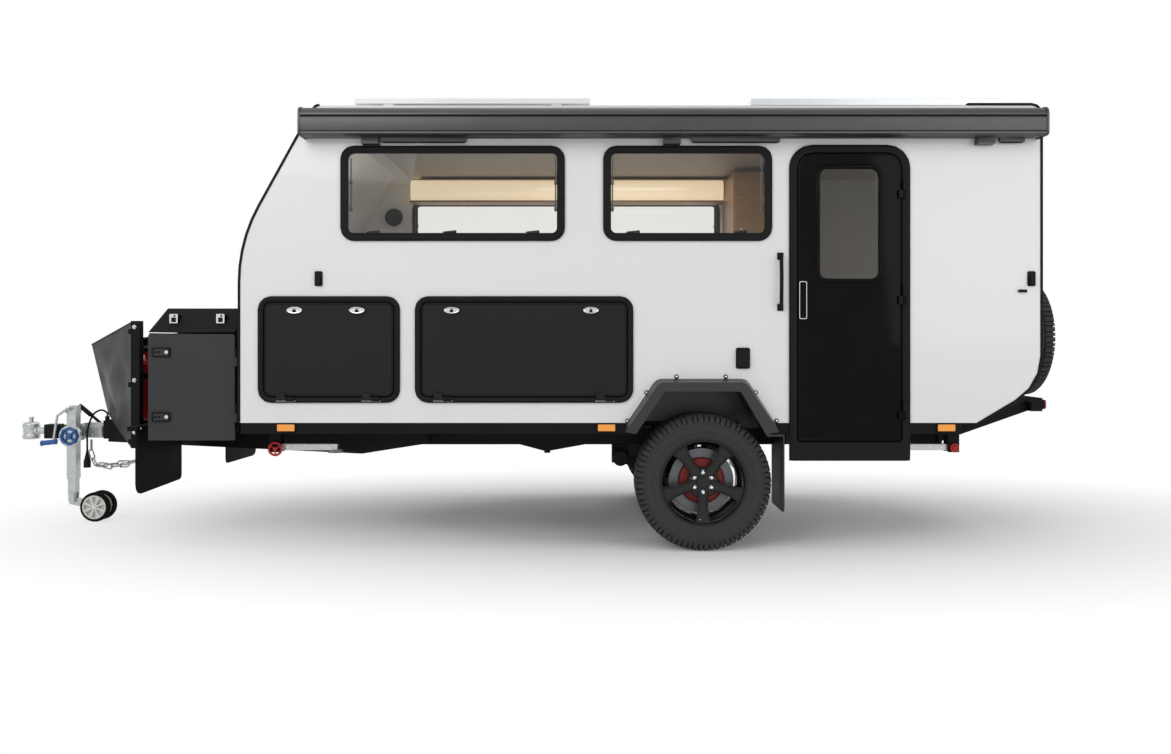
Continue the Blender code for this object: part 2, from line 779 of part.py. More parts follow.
def build_jockey():
    half = JOCKEY_TUBE / 2
    inner = half - 0.004
    x, y = JOCKEY_X, JOCKEY_Y
    column = plate(
        rectangle((x - half, x + half), (y - half, y + half)),
        "Z",
        0.28,
        0.722,
        [rectangle((x - inner, x + inner), (y - inner, y + inner))],
    )
    cap = box((x - half - 0.006, y - half - 0.006, 0.715), (x + half + 0.006, y + half - 0.001, 0.735))
    gearbox = box((x - 0.02, y - 0.022, 0.73), (x + 0.034, y + 0.022, 0.765))
    ring = rod((x, y - half - 0.02, 0.565), (x, y - half + 0.002, 0.565), 0.072, 16)
    arm = tube(
        [
            (x - 0.01, y - 0.02, 0.748),
            (x - 0.01, y - 0.06, 0.748),
            (x - 0.075, y - 0.062, 0.70),
            (x - 0.10, y - 0.062, 0.535),
        ],
        0.008,
    )
    grip = rod((x - 0.085, y - 0.062, 0.53), (x - 0.175, y - 0.062, 0.52), 0.016, 10)
    column = fused(column, cap, gearbox, ring, arm, grip)
    node("jockey_column", column, GALVANISED)
    core = inner - 0.0008
    leg = fused(
        box((x - core, y - core, 0.185), (x + core, y + core, 0.60)),
        rod((x, y, 0.166), (x, y, 0.19), 0.034),
    )
    node("jockey_leg", leg, GALVANISED)
    hub = (x + JOCKEY_TRAIL, y, JOCKEY_R)
    head = rod((x, y, 0.128), (x, y, 0.166 - GAP), 0.032)
    arm = beam((x - 0.02, y, 0.136), hub, 0.024, 0.05)
    eye = rod((hub[0], y - 0.012, hub[2]), (hub[0], y + 0.012, hub[2]), 0.03)
    bore = rod((hub[0], y - 0.1, hub[2]), (hub[0], y + 0.1, hub[2]), 0.0103, 12)
    node("jockey_fork", cut(fused(head, arm, eye), bore), GALVANISED, (x, y, 0))
    discs = []
    for way in (-1, 1):
        profile = [(0.0, 0.018), (0.088, 0.024), (JOCKEY_R, 0.032), (JOCKEY_R, 0.052)]
        profile += [(0.088, 0.060), (0.062, 0.054), (0.03, 0.066), (0.0, 0.066)]
        discs.append(turned(profile[::-1], hub, (0, way, 0), 20))
    axle = rod((hub[0], y - 0.05, hub[2]), (hub[0], y + 0.05, hub[2]), 0.010, 12)
    node("jockey_wheels", fused(axle, *discs), RUBBER_WHEEL, hub)


RUBBER_WHEEL = ("jockey_rubber", RUBBER, 0.8, 0.0)


def coil(centre, low, high, radius, turns, wire):
    """A coil spring standing on its end."""
    steps = turns * 8
    points = [
        (
            centre[0] + radius * math.cos(math.tau * turns * i / steps),
            centre[1] + radius * math.sin(math.tau * turns * i / steps),
            low + (high - low) * i / steps,
        )
        for i in range(steps + 1)
    ]
    return tube(points, wire, 0)


def build_suspension():
    hub_z = TYRE_R
    pivot = (0.60, 0.49)
    inner, outer = RAIL_Y - 0.05, RAIL_Y + 0.10
    rail_low = FLOOR_Z - GAP - SKIRT - RAIL_H - GAP

    def side():
        eye = rod((pivot[0], -outer, pivot[1]), (pivot[0], -inner, pivot[1]), 0.045)
        arm = beam((pivot[0], -RAIL_Y - 0.03, pivot[1]), (WHEEL_X, -RAIL_Y - 0.05, hub_z + 0.01), 0.07, 0.06)
        stub = rod((WHEEL_X, -RAIL_Y, hub_z), (WHEEL_X, -0.90, hub_z), 0.034)
        drum = rod((WHEEL_X, -0.795, hub_z), (WHEEL_X, -0.90, hub_z), 0.15, 20)
        nose = rod((WHEEL_X, -0.89, hub_z), (WHEEL_X, -0.975 + 0.0005, hub_z), 0.06, 14)
        seat = box((0.86, -0.79, 0.418), (1.0, -0.66, 0.436))
        spring = coil((0.93, -0.742), 0.43, 0.655, 0.036, 4, 0.0075)
        tower = box((0.87, -0.785, 0.650), (0.99, -RAIL_Y - BEAM_W / 2 - GAP, 0.665))
        hanger = box(
            (pivot[0] - 0.05, -RAIL_Y - 0.045, pivot[1] - 0.03),
            (pivot[0] + 0.05, -RAIL_Y + 0.045, rail_low),
        )
        damper = rod((0.80, -0.742, 0.44), (0.80, -0.742, 0.66), 0.02, 10)
        brace = box((0.775, -0.785, 0.650), (0.88, -RAIL_Y - BEAM_W / 2 - GAP, 0.662))
        return fused(arm, eye, stub, drum, nose, seat, spring, tower, hanger, damper, brace)

    cross = rod((pivot[0], -inner - 0.02, pivot[1]), (pivot[0], inner + 0.02, pivot[1]), 0.03)
    node("suspension", fused(cross, *both(side)), PAINT_BLACK)


def placed(obj, matrix):
    """A copy of a piece set somewhere else."""
    bm = bmesh.new()
    bm.from_mesh(obj.data)
    bmesh.ops.transform(bm, matrix=matrix, verts=bm.verts)
    return piece(bm)


def tyre():
    """Tyre about Z with its outer side up: carcass by Screw, tread blocks raised from its faces."""
    half = TYRE_W / 2
    base = TYRE_R - LUG
    carcass = [
        (RIM_R + 0.001, 0.112),
        (0.300, half),
        (0.345, half - 0.004),
        (base - 0.006, 0.108),
        (base, 0.040),
        (base, -0.040),
        (base - 0.006, -0.108),
        (0.345, 0.004 - half),
        (0.300, -half),
        (RIM_R + 0.001, -0.112),
        (RIM_R - 0.007, -0.112),
        (RIM_R - 0.007, 0.112),
    ]
    body = turned(carcass, (0, 0, 0), (0, 0, 1), SECTORS, closed=True)
    bm = bmesh.new()
    bm.from_mesh(body.data)
    bpy.data.objects.remove(body, do_unlink=True)
    blocks = []
    for face in bm.faces:
        middle = face.calc_center_median()
        if math.hypot(middle.x, middle.y) < base - 0.012:
            continue
        row = round(middle.z / 0.074)
        sector = math.floor(math.atan2(middle.y, middle.x) / math.tau * SECTORS)
        if (row + sector) % 2 == 0:
            blocks.append(face)
    bmesh.ops.inset_individual(bm, faces=blocks, thickness=0.005)
    raised = bmesh.ops.extrude_discrete_faces(bm, faces=blocks)["faces"]
    for face in raised:
        face.normal_update()
        push = face.normal * LUG
        bmesh.ops.translate(bm, vec=push, verts=face.verts)
    half_sector = Matrix.Rotation(math.pi / SECTORS, 4, "Z")
    bmesh.ops.transform(bm, matrix=half_sector, verts=bm.verts)
    return piece(bm)


def rim():
    """Wheel about Z with its outer side up: barrel, five wide spokes and a hub."""
    barrel = [
        (RIM_R, 0.119),
        (RIM_R, 0.1125),
        (RIM_R - 0.0075, 0.1125),
        (RIM_R - 0.0075, -0.1125),
        (RIM_R, -0.1125),
        (RIM_R, -0.119),
        (RIM_R - 0.018, -0.119),
        (RIM_R - 0.018, 0.119),
    ]
    made = turned(barrel, (0, 0, 0), (0, 0, 1), SECTORS, closed=True)
    half_sector = Matrix.Rotation(math.pi / SECTORS, 4, "Z")
    made.data.transform(half_sector)
    spoke = plate(
        [(0.05, -0.034), (0.14, -0.026), (0.228, -0.047), (0.228, 0.047), (0.14, 0.026), (0.05, 0.034)],
        "Z",
        0.055,
        0.092,
    )
    spokes = [
        placed(spoke, Matrix.Rotation(math.radians(90 + 72 * i), 4, "Z")) for i in range(5)
    ]
    bpy.data.objects.remove(spoke, do_unlink=True)
    hub = rod((0, 0, 0.045), (0, 0, 0.088), 0.088, 20)
    cap = rod((0, 0, 0.08), (0, 0, 0.102), 0.034, 14, 0.03)
    return fused(made, hub, cap, *spokes)


def wheel_place(centre, outward):
    """Matrix that sets a wheel with its outer side facing a direction and a spoke straight down."""
    out = Vector(outward)
    down = Vector((0, 0, -1))
    side = out.cross(down)
    turn = Matrix((side, down, out)).transposed().to_4x4()
    return Matrix.Translation(centre) @ turn


def build_wheels():
    rubber, disc = tyre(), rim()
    lift = -min((vertex.co.y for vertex in rubber.data.vertices))
    place = {
        "near": wheel_place((WHEEL_X, -WHEEL_Y, TYRE_R), (0, -1, 0)),
        "far": wheel_place((WHEEL_X, WHEEL_Y, TYRE_R), (0, 1, 0)),
        "spare": wheel_place((SPARE_X, 0, SPARE_Z), (1, 0, 0)),
    }
    drop = Matrix.Diagonal((TYRE_R / lift, TYRE_R / lift, 1, 1))
    for name, matrix in place.items():
        pivot = matrix.translation
        node(f"tyre_{name}", placed(rubber, matrix @ drop), TYRE_RUBBER, pivot)
        node(f"rim_{name}", placed(disc, matrix), GLOSS_BLACK, pivot)
    for spent in (rubber, disc):
        bpy.data.objects.remove(spent, do_unlink=True)


def drawn_in(band, lip):
    """The flare's band with its lip a little smaller than its root."""
    bm = bmesh.new()
    bm.from_mesh(band.data)
    bpy.data.objects.remove(band, do_unlink=True)
    bmesh.ops.triangulate(bm, faces=bm.faces)
    for vertex in bm.verts:
        if vertex.co.y < lip + 0.001:
            vertex.co.x += (WHEEL_X - vertex.co.x) * 0.045
            vertex.co.z -= 0.018 * (vertex.co.z > FLOOR_Z)
    return piece(bm)


def build_flares():
    lip = SIDE_Y - 0.075
    outer = [
        (WHEEL_X - 0.467, FLOOR_Z - 0.046, 0),
        (WHEEL_X - 0.268, ARCH_Z + 0.035, 0.05),
        (WHEEL_X + 0.243, ARCH_Z + 0.035, 0.05),
        (WHEEL_X + 0.436, FLOOR_Z - 0.046, 0),
    ]
    opening = [
        (WHEEL_X + 0.355, FLOOR_Z - 0.056, 0),
        (WHEEL_X + 0.210, ARCH_Z - 0.015, 0.03),
        (WHEEL_X - 0.235, ARCH_Z - 0.015, 0.03),
        (WHEEL_X - 0.405, FLOOR_Z - 0.056, 0),
    ]
    inside = [
        (WHEEL_X - 0.414, FLOOR_Z - 0.05, 0),
        (WHEEL_X - 0.243, ARCH_Z - 0.005, 0.03),
        (WHEEL_X + 0.218, ARCH_Z - 0.005, 0.03),
        (WHEEL_X + 0.368, FLOOR_Z - 0.05, 0),
    ]

    def side():
        band = plate(rounded(outer) + rounded(opening), "Y", lip, SIDE_Y - GAP)
        band = drawn_in(band, lip)
        lining = [(x + (0.002 if x > WHEEL_X else -0.002), z + 0.002, r) for x, z, r in opening]
        tub = plate(rounded(inside) + rounded(lining), "Y", SIDE_Y - 0.02, -RAIL_Y - 0.022)
        wall = plate(
            rounded(
                [
                    (WHEEL_X - 0.3893, FLOOR_Z - 0.02, 0),
                    (WHEEL_X - 0.240, ARCH_Z - 0.009, 0.022),
                    (WHEEL_X + 0.215, ARCH_Z - 0.009, 0.022),
                    (WHEEL_X + 0.3442, FLOOR_Z - 0.02, 0),
                ]
            ),
            "Y",
            -RAIL_Y - 0.030,
            -RAIL_Y - 0.024,
        )
        flap = plate(
            rounded(
                [
                    (SIDE_Y - 0.01, 0.222, 0.03),
                    (-0.715, 0.222, 0.03),
                    (-0.715, FLOOR_Z - 0.068, 0),
                    (SIDE_Y - 0.01, FLOOR_Z - 0.068, 0),
                ]
            ),
            "X",
            1.512,
            1.520,
        )
        foot = box((WHEEL_X + 0.36, SIDE_Y - 0.008, FLOOR_Z - 0.078), (1.518, -0.717, FLOOR_Z - 0.065))
        ledge = box(
            (WHEEL_X + 0.351, SIDE_Y - 0.03, FLOOR_Z - 0.072),
            (WHEEL_X + 0.374, -0.713, FLOOR_Z - 0.046),
        )
        return fused(band, tub, wall, ledge, foot, flap)

    near, far = both(side)
    node("flare_near", near, PLASTIC_BLACK)
    node("flare_far", far, PLASTIC_BLACK)


def build_front_box():
    (x0, x1), (z0, z1) = BOX_X, BOX_Z
    skirt = 0.62
    shell_half = BOX_HALF - 0.022
    section = [
        (x0, skirt),
        (x0, z1 - GAP),
        (x0 + SHEET, z1 - GAP),
        (x0 + SHEET, z0 + SHEET),
        (x1 - SHEET, z0 + SHEET),
        (x1 - SHEET, BOX_TOP_Z - 0.02),
        (x1, BOX_TOP_Z - 0.02),
        (x1, z0),
        (x0 + SHEET, z0),
        (x0 + SHEET, skirt),
    ]
    shell = plate(section, "Y", -shell_half, shell_half)
    notch = box((x0 - 0.1, -0.42, skirt - 0.1), (x0 + SHEET + 0.03, 0.42, z0 + 0.004))
    crown = [
        box((x1 - 0.03, side * BOX_HALF - 0.25, BOX_TOP_Z - 0.06), (x1 + 0.1, side * BOX_HALF + 0.25, 1.5))
        for side in (-1, 1)
    ]
    shell = cut(shell, notch, *crown)
    divider = box((x0 + 0.01, -0.008, z0 + 0.005), (x1 - 0.01, 0.008, z1 - 0.02))
    pin_x = x1 - 0.004
    door_pin = (pin_x + 0.002, -BOX_HALF - 0.010, 0)
    door_x = (x0 + 0.004, x1 - 0.016)
    spots = (0.78, 1.10)
    door = plate(
        rectangle(door_x, (skirt + 0.005, z1 - 0.006), 0.012), "Y", -BOX_HALF, -BOX_HALF + 0.014
    )
    latch = [
        box((x0 + 0.03, -BOX_HALF - 0.008, z - 0.025), (x0 + 0.13, -BOX_HALF + 0.004, z + 0.025))
        for z in (0.76, 1.13)
    ]
    leaf, lugs = hinge(
        "Z", door_pin, spots, ((-0.03, 0.001), (0.0, 0.014)), ((-0.008, 0.001), (0.002, 0.036))
    )
    door = fused(door, *leaf, *latch)
    far_lugs = [mirrored(lug) for lug in lugs]
    lid_pin = (x1 - 0.004, 0, BOX_TOP_Z - 0.006)
    lid_leaf, lid_lugs = hinge(
        "Y", lid_pin, (-0.45, 0.5), ((-0.03, -0.006), (0.0, 0.002)), ((-0.006, -0.03), (0.003, 0.0)), 0.006
    )
    node("front_box", fused(shell, divider, *lugs, *far_lugs, *lid_lugs), PAINT_BLACK)
    node("front_box_door_far", mirrored(door), PAINT_BLACK, (door_pin[0], -door_pin[1], 0))
    node("front_box_door_near", door, PAINT_BLACK, door_pin)
    node("front_box_lid", fused(box_lid(), *lid_leaf), PAINT_BLACK, lid_pin)


def lid_form(inset, low, high):
    """Hipped lid body, shrunk by an inset."""
    x0, x1 = BOX_X
    bm = bmesh.new()
    bmesh.ops.create_cube(bm, size=1.0)
    for vertex in bm.verts:
        top = vertex.co.z > 0
        front = x0 + 0.004 + (0.055 if top else 0.0) + inset
        rear = x1 - 0.016 - inset
        side = (BOX_HALF - 0.13 if top else BOX_HALF) - inset
        vertex.co.x = front if vertex.co.x < 0 else rear
        vertex.co.y = math.copysign(side, vertex.co.y)
        vertex.co.z = high if top else low
    return piece(bm)


def box_lid():
    low = BOX_Z[1] + RUN - 0.002
    hollow = lid_form(0.012, low - 0.05, BOX_TOP_Z - 0.014)
    across = BOX_HALF - 0.075
    latches = [
        box((x - 0.026, side * across - 0.03, 1.30), (x + 0.026, side * across + 0.03, 1.345))
        for x in (BOX_X[0] + 0.13, BOX_X[0] + 0.40)
        for side in (-1, 1)
    ]
    return fused(cut(lid_form(0.0, low, BOX_TOP_Z), hollow), *latches)


APEX = ((-2.935, 1.165), (-2.825, 0.705))


POST_Z = (0.56, 1.313)
GUARD_X = POST_X - POST / 2 + 0.01


def guard_frame():
    """Posts, V rails and centre spine of the stone guard, which stands on the drawbar's cross tube."""
    z0, z1 = POST_Z
    top, low = APEX
    x = GUARD_X

    def side():
        post = box((POST_X - POST / 2, -POST_Y - POST / 2, z0), (POST_X + POST / 2, -POST_Y + POST / 2, z1))
        upper = rod((x, -POST_Y, z1 - 0.02), (top[0], 0, top[1]), 0.010, 8)
        lower = rod((x, -POST_Y, z0 + 0.015), (low[0], 0, low[1]), 0.010, 8)
        return fused(post, upper, lower)

    spine = rod((top[0], 0, top[1] + 0.008), (low[0], 0, low[1] - 0.012), 0.013, 10)
    return fused(spine, *both(side))


def build_guard():
    z0, z1 = POST_Z
    top, low = APEX
    out = 0.024
    edge = GUARD_X - 0.0125
    bm = bmesh.new()
    rows = []
    for post_z, (tip_x, tip_z) in ((z1 - 0.008, top), (z0 + 0.004, low)):
        rows.append(
            [
                bm.verts.new((edge, -POST_Y - 0.01, post_z)),
                bm.verts.new((tip_x - out - 0.004, 0, tip_z + 0.004)),
                bm.verts.new((edge, POST_Y + 0.01, post_z)),
            ]
        )
    for i in (0, 1):
        bm.faces.new((rows[0][i], rows[0][i + 1], rows[1][i + 1], rows[1][i]))
    sheet = piece(bm)
    thick = sheet.modifiers.new("Solidify", "SOLIDIFY")
    thick.thickness = 0.004
    thick.offset = 0
    thick.use_even_offset = True
    node("stone_guard_sheet", remade(sheet), ("black_vinyl", BLACK, 0.45, 0.0))
    flap = plate(
        rounded([(-0.97, 0.305, 0.06), (-0.37, 0.315, 0.03), (-0.37, 0.69, 0), (-0.97, 0.69, 0)]),
        "X",
        -2.200,
        -2.192,
    )
    low_z = DRAW_TOP + 0.006 + GAP
    clamp = box((POST_X + POST / 2 + GAP, -0.972, low_z), (-2.188, 0.972, low_z + 0.024))
    node("front_flaps", fused(clamp, flap, mirrored(flap)), TYRE_RUBBER)


def build_carried():
    """Jerry can on the drawbar tray, and the water tank in its guard."""
    z = DRAW_TOP + 0.006 + GAP
    y0, y1 = -0.355, -0.015
    can = plate(
        rounded(
            [
                (y0, z, 0.02),
                (y1, z, 0.02),
                (y1, z + 0.40, 0.04),
                (y1 - 0.145, z + 0.44, 0.02),
                (y0, z + 0.40, 0.04),
            ]
        ),
        "X",
        -2.505,
        -2.34,
    )
    middle = -2.4225
    spout = rod((middle, y0 + 0.065, z + 0.36), (middle, y0 + 0.03, z + 0.475), 0.032, 12)
    grip = tube(
        [
            (middle, y1 - 0.145, z + 0.42),
            (middle, y1 - 0.165, z + 0.465),
            (middle, y1 - 0.06, z + 0.455),
            (middle, y1 - 0.045, z + 0.395),
        ],
        0.012,
    )
    node("jerry_can", fused(can, spout, grip), RED_PAINT)
    tank = plate(
        [(-0.17, 0.66), (-0.17, 0.60), (0.148, 0.515), (0.48, 0.575), (0.48, 0.66)],
        "Y",
        -0.60,
        0.60,
    )
    hangers = [
        box((x0, -0.55, 0.64), (x1, 0.55, DRAW_TOP)) for x0, x1 in ((-0.245, -0.15), (0.46, 0.585))
    ]
    drain = rod((0.148, -0.45, 0.49), (0.148, -0.45, 0.53), 0.02, 10)
    node("water_tank", fused(tank, *hangers, drain), PLASTIC_BLACK)


BUMPER_X = (3.062, 3.128)
BUMPER_Z = (0.773, 0.853)


def build_rear():
    (x0, x1), (z0, z1) = BUMPER_X, BUMPER_Z
    bar = box((x0, -0.75, z0), (x1, 0.75, z1))
    arms = both(lambda: beam((2.535, -RAIL_Y, 0.615), (x0 + 0.02, -RAIL_Y, z0 + 0.035), 0.05, 0.06))
    feet = both(lambda: box((2.5203, -RAIL_Y - 0.04, 0.57), (2.545, -RAIL_Y + 0.04, 0.665)))
    post = box((x0 + 0.008, -0.04, z0 + 0.01), (x1 - 0.004, 0.04, SPARE_Z + 0.1))
    stub = rod((x1 - 0.03, 0, SPARE_Z), (SPARE_X + 0.045 - GAP, 0, SPARE_Z), 0.06, 16)
    lamps = both(lambda: box((x1 - 0.004, -0.735, z0 + 0.012), (x1 + 0.022, -0.50, z1 - 0.012)))
    node("rear_bumper", fused(bar, *arms, *feet, post, stub, *lamps), PAINT_BLACK)


def build_roof_gear():
    y0, y1 = SIDE_Y - 0.130, SIDE_Y - 0.004 - GAP
    z0, z1 = AWNING_Z
    wall_y = SIDE_Y - GAP
    case = plate(
        rounded([(y0, z0, 0.02), (y1, z0, 0.004), (y1, z1, 0.004), (y0, z1, 0.045)]), "X", -1.19, 2.95
    )
    low_y, low_z, high_z = y0 - 0.004, z0 - 0.004, z1 + 0.004
    caps = [
        plate(
            rounded([(low_y, low_z, 0.02), (y1, low_z, 0), (y1, high_z, 0), (low_y, high_z, 0.045)]),
            "X",
            x,
            x + 0.012,
        )
        for x in (-1.20, 2.948)
    ]
    brackets = [
        box((x - 0.048, -1.105, z0 - 0.037), (x + 0.048, wall_y, z0 + 0.005))
        for x in (-0.819, 0.88, 2.647)
    ]
    bars = [
        box((a, -1.085, z0 - 0.022), (b, -1.06, z0 + 0.004))
        for a, b in ((-0.76, -0.28), (0.99, 1.49), (2.73, 2.87))
    ]
    awning = fused(case, *caps, *brackets, *bars)
    node("awning_case", awning, ("anodised_anthracite", (0.05, 0.05, 0.055, 1), 0.35, 0.6))
    node("solar_panel", fused(*roof_panel(1.373, 2.841, 0.04, GAP)), ALUMINIUM)


def build_interior():
    deck = FLOOR_Z + WALL + GAP
    inside = HALF_WIDTH - WALL - 0.012
    bench = box((0.15, 0.45, deck), (1.47, inside, 1.66))
    tub = box((WHEEL_X - 0.44, RAIL_Y, deck - 0.1), (WHEEL_X + 0.40, 1.2, ARCH_Z + 0.02))
    tall = box((1.458, 0.45, deck), (1.95, inside, ROOF_Z - 0.11))
    fascia = box((-0.90, 0.86, ROOF_Z - 0.215), (1.48, inside, ROOF_Z - 0.09))
    node("galley", fused(cut(bench, tub), tall, fascia), TIMBER)
    base = box((-1.52, -inside, 1.10), (-0.06, inside, 1.34))
    end = box((-0.10, -inside + 0.3, deck), (-0.07, inside - 0.02, 1.12))
    node("bed", fused(base, end), ("mattress_fabric", (0.75, 0.74, 0.72, 1.0), 0.9, 0.0))


def link(centre, along, tilt, length, wire):
    """One chain link lying along a direction, rolled by a tilt."""
    half, wide = length / 2 - wire, 0.016
    loop = []
    for i in range(6):
        angle = math.tau * (i + 0.5) / 6
        reach = half - wide if math.cos(angle) > 0 else wide - half
        loop.append(Vector((math.sin(angle) * wide, 0, math.cos(angle) * wide + reach)))
    turn = turned_to(along) @ Matrix.Rotation(tilt, 4, "Z")
    return tube([Vector(centre) + turn @ point for point in loop], wire, 0, cyclic=True)


def chain(points, pitch, length, wire):
    """Links along a smooth curve through the points, every other one turned on its side."""
    fine = smooth(points, 60)
    total = sum((after - before).length for before, after in zip(fine, fine[1:]))
    stops = smooth(points, round(total / pitch))
    return [
        link((before + after) / 2, after - before, math.pi / 2 * (index % 2), length, wire)
        for index, (before, after) in enumerate(zip(stops, stops[1:]))
    ]


def smooth(points, count):
    """Even samples of a Catmull-Rom curve through the points."""
    knots = [Vector(point) for point in points]
    knots = [2 * knots[0] - knots[1], *knots, 2 * knots[-1] - knots[-2]]
    fine = []
    for a, b, c, d in zip(knots, knots[1:], knots[2:], knots[3:]):
        for step in range(20):
            t = step / 20
            square = (2 * a - 5 * b + 4 * c - d) * t**2
            cube = (3 * b - a - 3 * c + d) * t**3
            fine.append(0.5 * (2 * b + (c - a) * t + square + cube))
    fine.append(knots[-2])
    total = sum((after - before).length for before, after in zip(fine, fine[1:]))
    evenly, walked, index = [fine[0]], 0.0, 0
    for step in range(1, count):
        target = total * step / count
        while walked + (fine[index + 1] - fine[index]).length < target:
            walked += (fine[index + 1] - fine[index]).length
            index += 1
        reach = (target - walked) / (fine[index + 1] - fine[index]).length
        evenly.append(fine[index].lerp(fine[index + 1], reach))
    return [*evenly, fine[-1]]


# Lug under each drawbar rail, down to the first link of its safety chain
CHAIN_LUG = (-2.50, 0.168, 0.503)

# Trailer lead from its gland on the drawbar down to its plug
GLAND = (-2.823, -0.067)
LEAD = (
    (*GLAND, DRAW_TOP + 0.0212),
    (*GLAND, DRAW_TOP + 0.040),
    (-2.850, -0.088, DRAW_TOP + 0.062),
    (-2.886, -0.118, DRAW_TOP + 0.040),
    (-2.908, -0.136, 0.645),
    (-2.918, -0.142, 0.580),
    (-2.918, -0.142, 0.510),
    (-2.918, -0.142, 0.440),
)


def build_loose():
    lug_x, lug_y, lug_z = CHAIN_LUG
    pitch, length, wire = 0.066, 0.086, 0.0055
    hook = lug_z - (length - pitch) / 2 + 0.0026
    near = [
        (lug_x, -lug_y, hook),
        (lug_x - 0.004, -lug_y, hook - 0.062),
        (-2.585, -0.165, 0.395),
        (-2.70, -0.14, 0.365),
        (-2.80, -0.11, 0.357),
        (-2.90, -0.07, 0.365),
        (-2.955, -0.02, 0.43),
        (-2.965, 0.0, 0.522),
    ]
    far = [
        (lug_x, lug_y, hook),
        (lug_x - 0.004, lug_y, hook - 0.062),
        (-2.585, 0.15, 0.40),
        (-2.70, 0.11, 0.372),
        (-2.80, 0.04, 0.357),
        (-2.885, -0.075, 0.360),
    ]
    links = [*chain(near, pitch, length, wire), *chain(far, pitch, length, wire)]
    node("safety_chains", fused(*links), GALVANISED)
    node("trailer_lead", tube(smooth(LEAD, 26), 0.006, 2), PLASTIC_BLACK)
    plug = fused(
        rod((-2.918, -0.142, 0.44 - GAP), (-2.918, -0.142, 0.40), 0.012, 14, 0.020),
        rod((-2.918, -0.142, 0.402), (-2.918, -0.142, 0.355), 0.022, 16),
    )
    node("trailer_plug", plug, PLASTIC_BLACK)


for build in (
    build_shell,
    build_windows,
    build_door,
    build_hatches,
    build_chassis,
    build_steadies,
    build_drawbar,
    build_coupling,
    build_jockey,
    build_suspension,
    build_wheels,
    build_flares,
    build_front_box,
    build_guard,
    build_carried,
    build_rear,
    build_roof_gear,
    build_interior,
    build_loose,
):
    build()
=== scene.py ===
"""Looks of the off-road hybrid caravan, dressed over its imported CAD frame.

Metres, +Z up, coupling at -X, entry side at -Y, as in the frame.
"""

import math

import bmesh
import bpy
from mathutils import Matrix, Vector


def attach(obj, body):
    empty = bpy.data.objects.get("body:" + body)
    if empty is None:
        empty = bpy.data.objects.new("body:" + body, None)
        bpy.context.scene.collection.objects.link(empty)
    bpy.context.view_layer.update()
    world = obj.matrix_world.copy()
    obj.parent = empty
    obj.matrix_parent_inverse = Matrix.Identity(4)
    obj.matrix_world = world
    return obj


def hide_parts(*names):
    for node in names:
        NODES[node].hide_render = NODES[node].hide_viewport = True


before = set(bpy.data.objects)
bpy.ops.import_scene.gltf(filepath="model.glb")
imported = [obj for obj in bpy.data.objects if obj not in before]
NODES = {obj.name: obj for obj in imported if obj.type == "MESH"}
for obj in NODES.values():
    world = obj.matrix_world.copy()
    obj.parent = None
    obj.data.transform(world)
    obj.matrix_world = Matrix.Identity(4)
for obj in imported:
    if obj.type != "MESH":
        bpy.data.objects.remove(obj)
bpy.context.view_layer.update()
SIDE = -1.05
# Where the backs of the walls' fittings lie, a hair proud of the wall
PROUD = 1.0502
ORIGIN = (0, 0, 0)
UP = (0, 0, 1)
SIDES = (("near", -1), ("far", 1))


def photo_camera():
    """Camera of the photograph: level, square to the entry side."""
    data = bpy.data.cameras.new("photo")
    data.lens = 29.0
    data.sensor_width = 36.0
    data.shift_x = -0.0047
    data.shift_y = -0.0316
    camera = bpy.data.objects.new("photo", data)
    camera.location = (0.424, -6.40, 1.20)
    camera.rotation_euler = (math.pi / 2, 0, 0)
    bpy.context.scene.collection.objects.link(camera)
    bpy.context.scene.camera = camera


photo_camera()


def hex_linear(code, alpha=1.0):
    """Linear colour of an sRGB hex value."""
    channels = [int(code[i : i + 2], 16) / 255 for i in (1, 3, 5)]
    linear = [c / 12.92 if c <= 0.04045 else ((c + 0.055) / 1.055) ** 2.4 for c in channels]
    return (*linear, alpha)


def add(tree, kind, inputs=None, **settings):
    """A node with its settings, and each input linked or set."""
    made = tree.nodes.new(kind)
    for name, value in settings.items():
        setattr(made, name, value)
    for key, value in (inputs or {}).items():
        if isinstance(value, bpy.types.NodeSocket):
            tree.links.new(value, made.inputs[key])
        else:
            made.inputs[key].default_value = value
    return made


def new_material(name):
    """An empty material and its tree, shader and object coordinates."""
    made = bpy.data.materials.new(name)
    made.use_nodes = True
    tree = made.node_tree
    tree.nodes.clear()
    shader = add(tree, "ShaderNodeBsdfPrincipled")
    add(tree, "ShaderNodeOutputMaterial", {"Surface": shader.outputs[0]})
    coords = add(tree, "ShaderNodeTexCoord").outputs["Object"]
    return made, tree, shader, coords


def mixed(tree, factor, low, high):
    """Colour between two hex values by a factor socket."""
    mix = add(tree, "ShaderNodeMix", data_type="RGBA")
    tree.links.new(factor, mix.inputs["Factor"])
    mix.inputs["A"].default_value = hex_linear(low) if isinstance(low, str) else low
    mix.inputs["B"].default_value = hex_linear(high) if isinstance(high, str) else high
    return mix.outputs["Result"]


